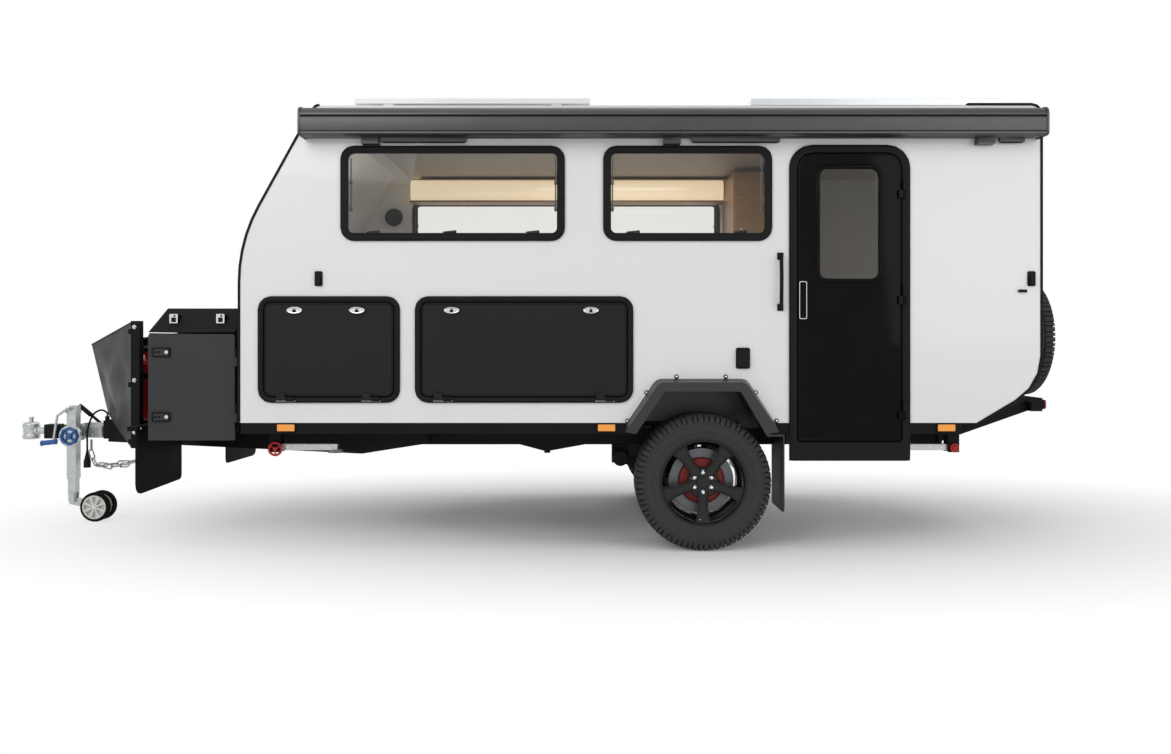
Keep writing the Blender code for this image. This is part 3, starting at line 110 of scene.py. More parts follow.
def surface(
    name,
    low,
    high,
    grain_mm,
    roughness,
    bump_mm=0.0,
    metallic=0.0,
    coat=0.0,
    sheen=0.0,
    stretch=(1, 1, 1),
    detail=4.0,
    specular=0.5,
    wander=1.0,
):
    """A finish that wanders in colour and gloss at a real grain size, with a matching bump."""
    made, tree, shader, coords = new_material(name)
    spread = add(tree, "ShaderNodeMapping", {"Vector": coords, "Scale": stretch}).outputs[0]
    noise = add(
        tree,
        "ShaderNodeTexNoise",
        {"Vector": spread, "Scale": 1000 / grain_mm, "Detail": detail, "Roughness": 0.55},
    ).outputs["Fac"]
    cloud = add(
        tree, "ShaderNodeTexNoise", {"Vector": coords, "Scale": 2.5, "Detail": 3.0}
    ).outputs["Fac"]
    both = add(tree, "ShaderNodeMath", {0: noise, 1: cloud}, operation="MULTIPLY").outputs[0]
    reach = add(
        tree, "ShaderNodeMapRange", {"Value": both, "From Min": 0.12, "From Max": 0.42}
    ).outputs[0]
    tree.links.new(mixed(tree, reach, low, high), shader.inputs["Base Color"])
    rough = add(
        tree,
        "ShaderNodeMapRange",
        {
            "Value": cloud,
            "To Min": roughness * (1 - 0.3 * wander),
            "To Max": min(1.0, roughness * (1 + 0.35 * wander)),
        },
    ).outputs[0]
    tree.links.new(rough, shader.inputs["Roughness"])
    if bump_mm:
        bump = add(
            tree,
            "ShaderNodeBump",
            {"Height": noise, "Strength": 0.6, "Distance": bump_mm / 1000},
        )
        tree.links.new(bump.outputs[0], shader.inputs["Normal"])
    shader.inputs["Metallic"].default_value = metallic
    shader.inputs["Coat Weight"].default_value = coat
    shader.inputs["Coat Roughness"].default_value = 0.06
    shader.inputs["Sheen Weight"].default_value = sheen
    shader.inputs["Specular IOR Level"].default_value = specular
    return made


# Gel-coated composite panel: near-white, slow waves in the gloss
GELCOAT = surface("white_gelcoat_panel", "#E7E7E6", "#E7E7E7", 300, 0.30, coat=0.4, wander=0.1)
# Powder-coated steel: fine orange peel, soft highlight
POWDER = surface(
    "black_powder_coated_steel", "#111112", "#171718", 3.0, 0.5, bump_mm=0.15, specular=0.1
)
# Moulded ABS: matt grained black
ABS = surface("moulded_black_abs", "#131314", "#1A1A1B", 2.0, 0.55, bump_mm=0.12, specular=0.12)
# Pressed and painted hatch skin: satin, a little lighter
SATIN_SKIN = surface(
    "satin_grey_black_skin", "#1C1C1D", "#212122", 4.0, 0.5, bump_mm=0.1, specular=0.15
)
# Charcoal powder coat of the front box: a shade lighter than the chassis
CHARCOAL = surface(
    "charcoal_powder_coated_steel", "#303133", "#37383A", 3.0, 0.5, bump_mm=0.15, specular=0.25
)
# Acrylic-faced door skin: mirror black with a hard coat
PIANO = surface(
    "gloss_black_acrylic_skin", "#050607", "#090A0C", 200, 0.10, coat=0.16, specular=0.0
)
# Gloss enamelled alloy: black wheel paint under lacquer
WHEEL_PAINT = surface(
    "gloss_black_wheel_enamel", "#0A0B0C", "#121315", 150, 0.16, coat=0.5, specular=0.1
)
# Tyre rubber: dull, slightly dusty in the hollows
TYRE = surface("tyre_rubber", "#2D2D2E", "#3D3D3E", 6.0, 0.78, bump_mm=0.3, specular=0.3)
# Moulded flap rubber: dull and smooth
FLAP = surface("moulded_rubber", "#0F0F10", "#151516", 5.0, 0.75, bump_mm=0.15, specular=0.1)
# Reinforced vinyl: fine leather grain with a soft sheen
VINYL = surface(
    "black_reinforced_vinyl", "#151312", "#1D1A18", 2.5, 0.45, bump_mm=0.2, specular=0.12
)
# Red enamelled steel can: chalky enamel
RED_ENAMEL = surface("red_enamelled_steel", "#9E1216", "#B81C1F", 8.0, 0.42, bump_mm=0.1)
# Anodised aluminium: dark grey, drawn lengthwise
ANODISED = surface(
    "anthracite_anodised_aluminium",
    "#464544",
    "#514F4E",
    1.5,
    0.34,
    metallic=0.7,
    stretch=(0.03, 1, 1),
)
# Mill aluminium: pale drawn metal
MILL = surface(
    "mill_finish_aluminium", "#B9BCC0", "#CDD0D3", 1.2, 0.35, metallic=1.0, stretch=(0.04, 1, 1)
)
# Nylon hub: off-white moulded plastic
NYLON = surface("white_moulded_nylon", "#D8D8D4", "#E4E4E0", 6.0, 0.5)
# Blue polypropylene handle
BLUE = surface("blue_moulded_polypropylene", "#12508F", "#1A62A8", 5.0, 0.42, bump_mm=0.08)
# Oiled cast iron of brake parts, dark red primer on it
RED_PRIMER = surface("dark_red_primer", "#6E1512", "#8A1F1A", 4.0, 0.55, bump_mm=0.2)
CAST = surface("machined_cast_iron", "#5C5E61", "#6C6E71", 2.0, 0.38, metallic=0.9)
# Stainless steel: bright turned fastener
STAINLESS = surface("bright_stainless_steel", "#C6C9CC", "#D9DBDD", 1.0, 0.22, metallic=1.0)
# Ceiling board: warm off-white laminate
CEILING = surface("warm_grey_laminate", "#B0A9A0", "#BCB5AB", 30, 0.5)


def galvanised():
    """Hot-dip zinc: pale grey with crystal spangle about 12 mm across."""
    made, tree, shader, coords = new_material("hot_dip_galvanised_steel")
    cells = add(tree, "ShaderNodeTexVoronoi", {"Vector": coords, "Scale": 80.0})
    level = add(tree, "ShaderNodeSeparateColor", {0: cells.outputs["Color"]}).outputs[0]
    tree.links.new(mixed(tree, level, "#B2B5B6", "#C2C5C5"), shader.inputs["Base Color"])
    rough = add(tree, "ShaderNodeMapRange", {"Value": level, "To Min": 0.34, "To Max": 0.42})
    tree.links.new(rough.outputs[0], shader.inputs["Roughness"])
    shader.inputs["Metallic"].default_value = 0.85
    return made


def tinted_acrylic():
    """Double-skinned bronze acrylic: see-through, darker and glossy."""
    made, tree, shader, coords = new_material("bronze_tinted_acrylic")
    cloud = add(tree, "ShaderNodeTexNoise", {"Vector": coords, "Scale": 1.2}).outputs["Fac"]
    tree.links.new(mixed(tree, cloud, "#F1F0ED", "#F4F3F1"), shader.inputs["Base Color"])
    shader.inputs["Roughness"].default_value = 0.03
    shader.inputs["IOR"].default_value = 1.1
    shader.inputs["Transmission Weight"].default_value = 1.0
    shader.inputs["Coat Weight"].default_value = 0.35
    shader.inputs["Coat Roughness"].default_value = 0.02
    return made


def timber():
    """Light oak laminate: grain lines every 6 mm, run along the van."""
    made, tree, shader, coords = new_material("light_oak_laminate")
    spread = add(tree, "ShaderNodeMapping", {"Vector": coords, "Scale": (0.6, 8.0, 8.0)})
    rings = add(
        tree,
        "ShaderNodeTexNoise",
        {"Vector": spread.outputs[0], "Scale": 6.0, "Detail": 6.0, "Distortion": 1.2},
    ).outputs["Fac"]
    tree.links.new(mixed(tree, rings, "#8F6B47", "#C49A6C"), shader.inputs["Base Color"])
    shader.inputs["Roughness"].default_value = 0.48
    return made


def solar_cells():
    """Monocrystalline cells behind glass: blue-black squares 158 mm across with silver lines."""
    made, tree, shader, coords = new_material("monocrystalline_cells_under_glass")
    grid = add(
        tree,
        "ShaderNodeTexBrick",
        {
            "Vector": coords,
            "Scale": 1.0,
            "Mortar Size": 0.003,
            "Brick Width": 0.158,
            "Row Height": 0.158,
        },
        offset=0.0,
    )
    grid.inputs["Color1"].default_value = hex_linear("#10182B")
    grid.inputs["Color2"].default_value = hex_linear("#142036")
    grid.inputs["Mortar"].default_value = hex_linear("#8C949C")
    tree.links.new(grid.outputs["Color"], shader.inputs["Base Color"])
    shader.inputs["Roughness"].default_value = 0.12
    shader.inputs["Coat Weight"].default_value = 1.0
    return made


def lens(name, code, glow):
    """Moulded lamp lens: ribbed coloured plastic that looks lit from inside; on the blind cassettes
    this glow is painted light.
    """
    made, tree, shader, coords = new_material(name)
    ribs = add(tree, "ShaderNodeTexWave", {"Vector": coords, "Scale": 60.0}).outputs["Fac"]
    tree.links.new(mixed(tree, ribs, code, code), shader.inputs["Base Color"])
    bump = add(tree, "ShaderNodeBump", {"Height": ribs, "Strength": 0.3, "Distance": 0.0005})
    tree.links.new(bump.outputs[0], shader.inputs["Normal"])
    shader.inputs["Roughness"].default_value = 0.12
    shader.inputs["Coat Weight"].default_value = 0.8
    shader.inputs["Emission Color"].default_value = hex_linear(code)
    shader.inputs["Emission Strength"].default_value = glow
    return made


ZINC = galvanised()
ACRYLIC = tinted_acrylic()
OAK = timber()
CELLS = solar_cells()
AMBER = lens("amber_polycarbonate_lens", "#EE9626", 0.14)
RED_LENS = lens("red_polycarbonate_lens", "#A01414", 0.08)
# Blind cassettes' warm glow: painted light, the cabin lamps' light painted onto them as emission
CASSETTE_PAINTED_GLOW = lens("cassette_painted_glow", "#F0DDBC", 0.7)
# Quilted mattress cover: pale knitted cloth, stitches 4 mm apart
TICKING = surface("quilted_mattress_cloth", "#C9C5BE", "#DAD7D1", 4.0, 0.85, bump_mm=0.6, sheen=0.3)

# Semi-gloss polyurethane of the wheel-arch flares
FLARE = surface(
    "satin_moulded_polyurethane", "#1A1B1D", "#232426", 2.5, 0.32, bump_mm=0.1, specular=0.5
)

FINISHES = {
    FLARE: ("flare_near", "flare_far"),
    GELCOAT: ("near_wall", "far_wall", "front_wall", "rear_wall", "roof", "floor"),
    POWDER: ("chassis", "drawbar", "rear_bumper", "suspension", "front_box", "front_box_lid"),
    CHARCOAL: ("front_box_door_near", "front_box_door_far"),
    ABS: (
        "nose_trim",
        "tail_trim",
        "grab_handle",
        "water_tank",
        "trailer_plug",
        "trailer_lead",
        "door_frame",
        "hatch_frame_front",
        "hatch_frame_rear",
        "window_frame_near_front",
        "window_frame_near_rear",
        "window_frame_far_front",
        "window_frame_far_rear",
    ),
    SATIN_SKIN: ("hatch_door_front", "hatch_door_rear"),
    PIANO: ("door_leaf",),
    WHEEL_PAINT: ("rim_near", "rim_far", "rim_spare"),
    TYRE: ("tyre_near", "tyre_far", "tyre_spare"),
    FLAP: ("front_flaps",),
    VINYL: ("stone_guard_sheet",),
    RED_ENAMEL: ("jerry_can",),
    ANODISED: ("awning_case",),
    MILL: ("solar_panel",),
    ZINC: (
        "coupling",
        "jockey_column",
        "jockey_leg",
        "jockey_fork",
        "safety_chains",
        "steady_front_near",
        "steady_front_far",
        "steady_rear_near",
        "steady_rear_far",
    ),
    NYLON: ("jockey_wheels",),
    ACRYLIC: (
        "door_glass",
        "window_pane_near_front",
        "window_pane_near_rear",
        "window_pane_far_front",
        "window_pane_far_rear",
    ),
    OAK: ("galley",),
    TICKING: ("bed",),
}
for made, names in FINISHES.items():
    for name in names:
        mesh = NODES[name].data
        mesh.materials.clear()
        mesh.materials.append(made)


def mesh_of(bm, name):
    """A plain mesh from a bmesh, doubles merged and faces turned out."""
    bmesh.ops.remove_doubles(bm, verts=bm.verts, dist=1e-6)
    bmesh.ops.recalc_face_normals(bm, faces=bm.faces)
    mesh = bpy.data.meshes.new(name)
    bm.to_mesh(mesh)
    bm.free()
    return mesh


def placed(name, mesh, body, bevel, smooth):
    """A mesh as a piece of the object: bends smooth, edges eased, riding on a body."""
    mesh.shade_smooth()
    mesh.set_sharp_from_angle(angle=math.radians(smooth))
    obj = bpy.data.objects.new(name, mesh)
    bpy.context.scene.collection.objects.link(obj)
    if bevel:
        round_off = obj.modifiers.new("edges", "BEVEL")
        round_off.width = bevel
        round_off.segments = 2
        round_off.limit_method = "ANGLE"
    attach(obj, body)
    return obj


def finished(name, bm, material, body, bevel=0.0, smooth=35.0):
    """A piece of the object from a bmesh, in one material."""
    mesh = mesh_of(bm, name)
    mesh.materials.append(material)
    return placed(name, mesh, body, bevel, smooth)


def block(bm, low, high):
    """A box from corner to corner."""
    made = bmesh.ops.create_cube(bm, size=1.0)["verts"]
    for vertex in made:
        for i in range(3):
            vertex.co[i] = high[i] if vertex.co[i] > 0 else low[i]
    return made


def round_rect(x0, x1, z0, z1, radius, steps=6):
    """Corner-rounded outline, as (across, up) points."""
    points = []
    for cx, cz, start in (
        (x1 - radius, z1 - radius, 0), (x0 + radius, z1 - radius, 90),
        (x0 + radius, z0 + radius, 180), (x1 - radius, z0 + radius, 270),
    ):
        for step in range(steps + 1):
            angle = math.radians(start + 90 * step / steps)
            points.append((cx + radius * math.cos(angle), cz + radius * math.sin(angle)))
    return points


def at(axis, along, a, b):
    """A point from its place along an axis and its two places across it."""
    return {"X": (along, a, b), "Y": (a, along, b), "Z": (a, b, along)}[axis]


def skin(bm, rings, closed=False, caps=True):
    """Faces between rings of one length, its ends capped unless it closes on itself."""
    rows = [[bm.verts.new(point) for point in ring] for ring in rings]
    pairs = list(zip(rows, rows[1:]))
    if closed:
        pairs.append((rows[-1], rows[0]))
    for one, two in pairs:
        for i in range(len(one)):
            j = (i + 1) % len(one)
            bm.faces.new((one[i], one[j], two[j], two[i]))
    if caps and not closed:
        bm.faces.new(rows[0][::-1])
        bm.faces.new(rows[-1])


def prism(bm, outline, axis, low, high):
    """An outline made solid from low to high along an axis."""
    skin(bm, [[at(axis, level, a, b) for a, b in outline] for level in (low, high)])


def band(bm, outer, inner, axis, low, high):
    """A frame between two outlines of one length."""
    skin(
        bm,
        [
            [at(axis, low, a, b) for a, b in outer],
            [at(axis, high, a, b) for a, b in outer],
            [at(axis, high, a, b) for a, b in inner],
            [at(axis, low, a, b) for a, b in inner],
        ],
        closed=True,
    )


def lathe(bm, profile, centre, axis, steps=32):
    """A turned shape from (radius, along) points, closed at the axis or back on itself."""
    turn = Vector(axis).to_track_quat("Z", "Y").to_matrix()
    rings = []
    for radius, along in profile:
        ring = []
        for step in range(steps):
            angle = math.tau * step / steps
            spot = Vector((radius * math.cos(angle), radius * math.sin(angle), along))
            ring.append(Vector(centre) + turn @ spot)
        rings.append(ring)
    skin(bm, rings)


def spun(bm, profile, steps, turn=Matrix.Identity(3), centre=ORIGIN):
    """A ring swept about an axle from a closed outline of (radius, along) points."""
    rings = []
    for step in range(steps):
        angle = math.tau * step / steps
        cosine, sine = math.cos(angle), math.sin(angle)
        spots = [Vector((r * cosine, r * sine, along)) for r, along in profile]
        rings.append([Vector(centre) + turn @ spot for spot in spots])
    skin(bm, rings, closed=True)


def disc(bm, centre, axis, radius, low, high, steps=24, edge=0.0):
    """A short round bar with softened rims."""
    profile = [
        (radius - edge, low), (radius, low + edge), (radius, high - edge), (radius - edge, high)
    ]
    lathe(bm, profile if edge else profile[1:3], centre, axis, steps)


def pipe(bm, path, radius, steps=10):
    """A round bar along a path."""
    points = [Vector(point) for point in path]
    rings = []
    side = None
    for i, point in enumerate(points):
        ahead = (points[min(i + 1, len(points) - 1)] - points[max(i - 1, 0)]).normalized()
        if side is None:
            side = ahead.orthogonal().normalized()
        side = (side - ahead * side.dot(ahead)).normalized()
        other = ahead.cross(side)
        ring = []
        for k in range(steps):
            angle = math.tau * k / steps
            ring.append(point + (side * math.cos(angle) + other * math.sin(angle)) * radius)
        rings.append(ring)
    skin(bm, rings)


def eased(points, count):
    """Even steps along a Catmull-Rom curve through points."""
    knots = [Vector(point) for point in points]
    knots = [2 * knots[0] - knots[1], *knots, 2 * knots[-1] - knots[-2]]
    out = []
    for a, b, c, d in zip(knots, knots[1:], knots[2:], knots[3:]):
        for step in range(count):
            t = step / count
            straight = 2 * b + (c - a) * t
            bend = (2 * a - 5 * b + 4 * c - d) * t**2
            out.append(0.5 * (straight + bend + (3 * b - a - 3 * c + d) * t**3))
    return [*out, knots[-2]]


def made_object(name, data, material, body):
    """A new object from mesh or curve data, in one material, riding on a body."""
    data.materials.append(material)
    obj = bpy.data.objects.new(name, data)
    bpy.context.scene.collection.objects.link(obj)
    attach(obj, body)
    return obj


# Route of the lead for the tow car's socket, as in the part's source: up out of its gland and down
LEAD = (
    (-2.823, -0.067, 0.6906), (-2.823, -0.067, 0.7094), (-2.850, -0.088, 0.7314),
    (-2.886, -0.118, 0.7094), (-2.908, -0.136, 0.645), (-2.918, -0.142, 0.580),
    (-2.918, -0.142, 0.510), (-2.918, -0.142, 0.440),
)
LEAD_RADIUS = 0.006


def trailer_lead():
    """Rubber lead hanging from its gland, a tapered boot at its lower end."""
    route = eased(LEAD, 5)
    curve = bpy.data.curves.new("trailer_cord", "CURVE")
    curve.dimensions = "3D"
    curve.bevel_depth = LEAD_RADIUS
    curve.bevel_resolution = 4
    curve.use_fill_caps = True
    spline = curve.splines.new("POLY")
    spline.points.add(len(route) - 1)
    for point, spot in zip(spline.points, route):
        point.co = (*spot, 1.0)
    lead = made_object("trailer_cord", curve, FLAP, "van")
    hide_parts("trailer_lead")
    bm = bmesh.new()
    rings = [
        (0.0070, 0), (0.0098, 0.004), (0.0094, 0.010), (0.0078, 0.018), (0.0068, 0.028),
        (0.0061, 0.036),
    ]
    lathe(bm, rings, (-2.918, -0.142, 0.438), UP, 20)
    boot = finished("trailer_cord_boot", bm, FLAP, "van")


trailer_lead()

# Stone guard's posts, upper and lower tips, as in the part's source
POST_Y = 0.80
GUARD_EDGE = -2.2975
GUARD_TOP = (1.305, -2.963, 1.169)
GUARD_LOW = (0.564, -2.853, 0.709)


def guard_spot(u, v):
    """Point of the stretched sheet: u from near post to far post, v from top to foot."""
    side = -1 if u < 0.5 else 1
    reach = 1 - abs(2 * u - 1)
    top = Vector(
        (
            GUARD_EDGE + (GUARD_TOP[1] - GUARD_EDGE) * reach,
            0,
            GUARD_TOP[0] + (GUARD_TOP[2] - GUARD_TOP[0]) * reach,
        )
    )
    low = Vector(
        (
            GUARD_EDGE + (GUARD_LOW[1] - GUARD_EDGE) * reach,
            0,
            GUARD_LOW[0] + (GUARD_LOW[2] - GUARD_LOW[0]) * reach,
        )
    )
    spot = top.lerp(low, v)
    spot.y = side * (POST_Y + 0.010) * (1 - reach)
    away = min(reach, 1 - reach) * min(v, 1 - v) * 4
    outward = Vector((-0.83, side * 0.56, 0))
    slack = 0.0
    for lean, pitch, depth, phase in (
        (0.9, 8.0, 0.0085, 0.4),
        (-1.1, 10.0, 0.0040, 2.1),
        (0.4, 21.0, 0.0010, 4.0),
    ):
        slack += depth * math.sin(pitch * (reach + lean * v) + phase + side * 0.7)
    gather = 0.012 * math.exp(-((1 - reach) / 0.16) ** 2) * math.sin(v * 26 + side)
    return spot + outward * ((slack + gather) * min(1.0, 3 * away) + 0.010 * away)


def guard_sheet():
    """Reinforced vinyl stretched over the guard's rails, with rolled hems."""
    across, down = 96, 44
    bm = bmesh.new()
    grid = [
        [bm.verts.new(guard_spot(i / across, j / down)) for i in range(across + 1)]
        for j in range(down + 1)
    ]
    for upper, lower in zip(grid, grid[1:]):
        for i in range(across):
            bm.faces.new((upper[i], upper[i + 1], lower[i + 1], lower[i]))
    bmesh.ops.recalc_face_normals(bm, faces=bm.faces)
    mesh = bpy.data.meshes.new("stone_guard_cover")
    bm.to_mesh(mesh)
    bm.free()
    mesh.shade_smooth()
    cover = made_object("stone_guard_cover", mesh, VINYL, "van")
    thick = cover.modifiers.new("cloth", "SOLIDIFY")
    thick.thickness = 0.0012
    thick.offset = 0
    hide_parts("stone_guard_sheet")
    bm = bmesh.new()
    for v in (0.0, 1.0):
        path = [guard_spot(i / 48, v) for i in range(49)]
        pipe(bm, path, 0.0045, 8)
    for u in (0.004, 0.996):
        path = [guard_spot(u, j / 24) for j in range(25)]
        pipe(bm, path, 0.004, 8)
    hem = finished("stone_guard_hem", bm, VINYL, "van", smooth=60)


guard_sheet()


def cushion(name, low, high, puff, ripple, edge, material):
    """A stuffed form: crowned top and bottom, its sides drawn in between the corners."""
    count = 30
    half = (Vector(high) - Vector(low)) / 2
    middle = (Vector(high) + Vector(low)) / 2
    bm = bmesh.new()

    def spot(i, j, side):
        x, y = 2 * i / count - 1, 2 * j / count - 1
        plump = ((1 - x**8) * (1 - y**8)) ** 0.5
        height = half.z * (edge + (1 - edge) * plump)
        creases = half.z * ripple * plump * math.sin(7 * x + 2 * y) * math.cos(6 * y - 2 * x)
        return middle + Vector(
            (
                x * half.x * (1 - puff * (1 - y * y)),
                y * half.y * (1 - puff * (1 - x * x)),
                side * (height * (1 - ripple) + creases),
            )
        )

    span = range(count + 1)
    rims = []
    for side in (1, -1):
        grid = [[bm.verts.new(spot(i, j, side)) for i in span] for j in span]
        for upper, lower in zip(grid, grid[1:]):
            for i in range(count):
                bm.faces.new((upper[i], upper[i + 1], lower[i + 1], lower[i]))
        rims.append(
            [
                *grid[0],
                *[row[-1] for row in grid[1:]],
                *grid[-1][-2::-1],
                *[row[0] for row in grid[-2:0:-1]],
            ]
        )
    for i in range(len(rims[0])):
        j = (i + 1) % len(rims[0])
        bm.faces.new((rims[0][i], rims[0][j], rims[1][j], rims[1][i]))
    obj = finished(name, bm, material, "van", smooth=75)
    return obj


# Top of the cabin floor
FLOOR_TOP = 0.7655


def bed():
    """Mattress on a timber base, pillows at its far end, and the end board."""
    mattress = cushion(
        "mattress", (-1.51, -0.99, 1.185), (-0.075, 0.99, 1.338), 0.006, 0.02, 0.78, TICKING
    )
    pillows = [
        cushion(
            f"pillow_{i}",
            (x - 0.30, 0.50, 1.34), (x + 0.30, 0.97, 1.47),
            0.06,
            0.10,
            0.12,
            TICKING,
        )
        for i, x in enumerate((-1.08, -0.42))
    ]
    bm = bmesh.new()
    block(bm, (-1.51, -1.0, 1.10), (-0.062, 1.0, 1.184))
    for y in (-0.6, 0.0, 0.6):
        block(bm, (-0.112, y - 0.02, FLOOR_TOP), (-0.070, y + 0.02, 1.11))
    block(bm, (-0.10, -0.70, FLOOR_TOP), (-0.071, 0.98, 1.12))
    base = finished("bed_base", bm, OAK, "van", bevel=0.002)
    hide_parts("bed")
    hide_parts("bed")
    return pillows


bed()


def named_inputs(tree, *wanted):
    """The tree's inputs in order, as (name, socket kind, default), and its geometry output."""
    for name, kind, value in wanted:
        socket = tree.interface.new_socket(name, in_out="INPUT", socket_type=kind)
        if value is not None:
            socket.default_value = value
    tree.interface.new_socket("Made", in_out="OUTPUT", socket_type="NodeSocketGeometry")
    return tree.nodes.new("NodeGroupInput").outputs


def end_tree(tree, instances, finish):
    """The tree, closed by making its copies real and giving them the finish."""
    real = add(tree, "GeometryNodeRealizeInstances", {0: instances})
    dressed = add(
        tree, "GeometryNodeSetMaterial", {"Geometry": real.outputs[0], "Material": finish}
    )
    add(tree, "NodeGroupOutput", {0: dressed.outputs[0]})
    return tree


def around_tree():
    """Copies of a unit turned in equal steps about an axle along Z through the origin."""
    tree = bpy.data.node_groups.new("copies_around_an_axle", "GeometryNodeTree")
    given = named_inputs(
        tree,
        ("Unit", "NodeSocketObject", None),
        ("Count", "NodeSocketInt", 12),
        ("First Angle", "NodeSocketFloat", 0.0),
        ("Finish", "NodeSocketMaterial", None),
    )
    unit = add(tree, "GeometryNodeObjectInfo", {"Object": given["Unit"]}).outputs["Geometry"]
    spots = add(tree, "GeometryNodeMeshLine", {"Count": given["Count"], "Offset": (0, 0, 0)})
    index = add(tree, "GeometryNodeInputIndex").outputs[0]
    share = add(tree, "ShaderNodeMath", {0: index, 1: given["Count"]}, operation="DIVIDE")
    turn = add(
        tree,
        "ShaderNodeMath",
        {0: share.outputs[0], 1: math.tau, 2: given["First Angle"]},
        operation="MULTIPLY_ADD",
    )
    spin = add(tree, "ShaderNodeCombineXYZ", {"Z": turn.outputs[0]})
    copies = add(
        tree,
        "GeometryNodeInstanceOnPoints",
        {"Points": spots.outputs[0], "Instance": unit, "Rotation": spin.outputs[0]},
    )
    return end_tree(tree, copies.outputs[0], given["Finish"])


def spots_tree():
    """A copy of a unit at each point of a mesh, turned by the point's own angles."""
    tree = bpy.data.node_groups.new("copies_at_spots", "GeometryNodeTree")
    given = named_inputs(
        tree,
        ("Spots", "NodeSocketGeometry", None),
        ("Unit", "NodeSocketObject", None),
        ("Size", "NodeSocketFloat", 1.0),
        ("Finish", "NodeSocketMaterial", None),
    )
    unit = add(tree, "GeometryNodeObjectInfo", {"Object": given["Unit"]}).outputs["Geometry"]
    angles = add(
        tree, "GeometryNodeInputNamedAttribute", {"Name": "turn"}, data_type="FLOAT_VECTOR"
    )
    copies = add(
        tree,
        "GeometryNodeInstanceOnPoints",
        {
            "Points": given["Spots"],
            "Instance": unit,
            "Rotation": angles.outputs[0],
            "Scale": given["Size"],
        },
    )
    return end_tree(tree, copies.outputs[0], given["Finish"])


AROUND = around_tree()
AT_SPOTS = spots_tree()


def grown(tree, host_mesh, unit_bm, finish, **values):
    """The plain mesh that a tree makes of a unit, its modifier and helpers removed."""
    unit = bpy.data.objects.new("unit", mesh_of(unit_bm, "unit"))
    host = bpy.data.objects.new("host", host_mesh)
    for obj in (unit, host):
        bpy.context.scene.collection.objects.link(obj)
    repeat = host.modifiers.new("repeat", "NODES")
    repeat.node_group = tree
    values = {"Unit": unit, "Finish": finish, **values}
    for item in tree.interface.items_tree:
        if item.in_out == "INPUT" and item.name in values:
            repeat[item.identifier] = values[item.name]
    host.update_tag()
    graph = bpy.context.evaluated_depsgraph_get()
    mesh = bpy.data.meshes.new_from_object(host.evaluated_get(graph), depsgraph=graph)
    host.modifiers.remove(repeat)
    for obj in (unit, host):
        bpy.data.objects.remove(obj)
    return mesh


def around(unit_bm, count, finish, first=0.0):
    """Mesh of a unit repeated about the Z axis."""
    return grown(
        AROUND,
        bpy.data.meshes.new("axle"),
        unit_bm,
        finish,
        **{"Count": count, "First Angle": first},
    )


def at_spots(unit_bm, spots, finish, size=1.0):
    """Mesh of a unit repeated at (place, angles) spots."""
    host = bpy.data.meshes.new("spots")
    host.from_pydata([place for place, turn in spots], [], [])
    turns = host.attributes.new("turn", "FLOAT_VECTOR", "POINT")
    for i, (place, turn) in enumerate(spots):
        turns.data[i].vector = turn
    return grown(AT_SPOTS, host, unit_bm, finish, Size=size)


def gathered(name, meshes, body, matrix=None, smooth=35.0, bevel=0.0):
    """One piece from several meshes, set in its place, riding on a body."""
    bm = bmesh.new()
    finishes = []
    for mesh in meshes:
        start = len(bm.faces)
        bm.from_mesh(mesh)
        bm.faces.ensure_lookup_table()
        names = [m for m in mesh.materials if m]
        for face in bm.faces[start:]:
            made = names[min(face.material_index, len(names) - 1)]
            if made not in finishes:
                finishes.append(made)
            face.material_index = finishes.index(made)
    if matrix:
        bmesh.ops.transform(bm, matrix=matrix, verts=bm.verts)
        if matrix.determinant() < 0:
            bmesh.ops.reverse_faces(bm, faces=bm.faces)
    whole = bpy.data.meshes.new(name)
    bm.to_mesh(whole)
    bm.free()
    for made in finishes:
        whole.materials.append(made)
    return placed(name, whole, body, bevel, smooth)


def shape(material, build):
    """A plain mesh in one material from a function that fills a bmesh."""
    bm = bmesh.new()
    build(bm)
    mesh = mesh_of(bm, "shape")
    mesh.materials.append(material)
    return mesh


# Road wheels and the spare, each as (name, centre, way its face looks, body)
TYRE_R = 0.388
HALF_TREAD = 0.1325
PITCHES = 36
NUTS = 6
NUT_CIRCLE = 0.0572
SPOKES = 5
# Blocks of one tread pitch, as (degrees round, across) corners: hook, bar, long lug, short lug
TREAD_BLOCKS = (
    ((0.8, 0.006), (4.2, 0.014), (5.4, 0.030), (4.4, 0.046), (1.2, 0.050), (-0.4, 0.030)),
    ((5.9, 0.010), (9.2, 0.005), (10.0, 0.020), (9.4, 0.042), (6.6, 0.050), (6.6, 0.030)),
    ((0.4, 0.060), (4.6, 0.056), (5.2, 0.100), (0.2, 0.104)),
    ((5.9, 0.058), (9.0, 0.062), (9.3, 0.098), (6.2, 0.102)),
)
WHEELS = (
    ("near", (1.0625, -0.93, 0.388), (0, -1, 0), "wheel_near"),
    ("far", (1.0625, 0.93, 0.388), (0, 1, 0), "wheel_far"),
    ("spare", (3.265, 0.0, 1.22), (1, 0, 0), "van"),
)


def wheel_place(centre, outward):
    """Matrix that sets a wheel made about Z at its centre, face outwards and one spoke down."""
    out = Vector(outward)
    down = Vector((0, 0, -1))
    across = down.cross(out)
    return Matrix.Translation(centre) @ Matrix((across, down, out)).transposed().to_4x4()


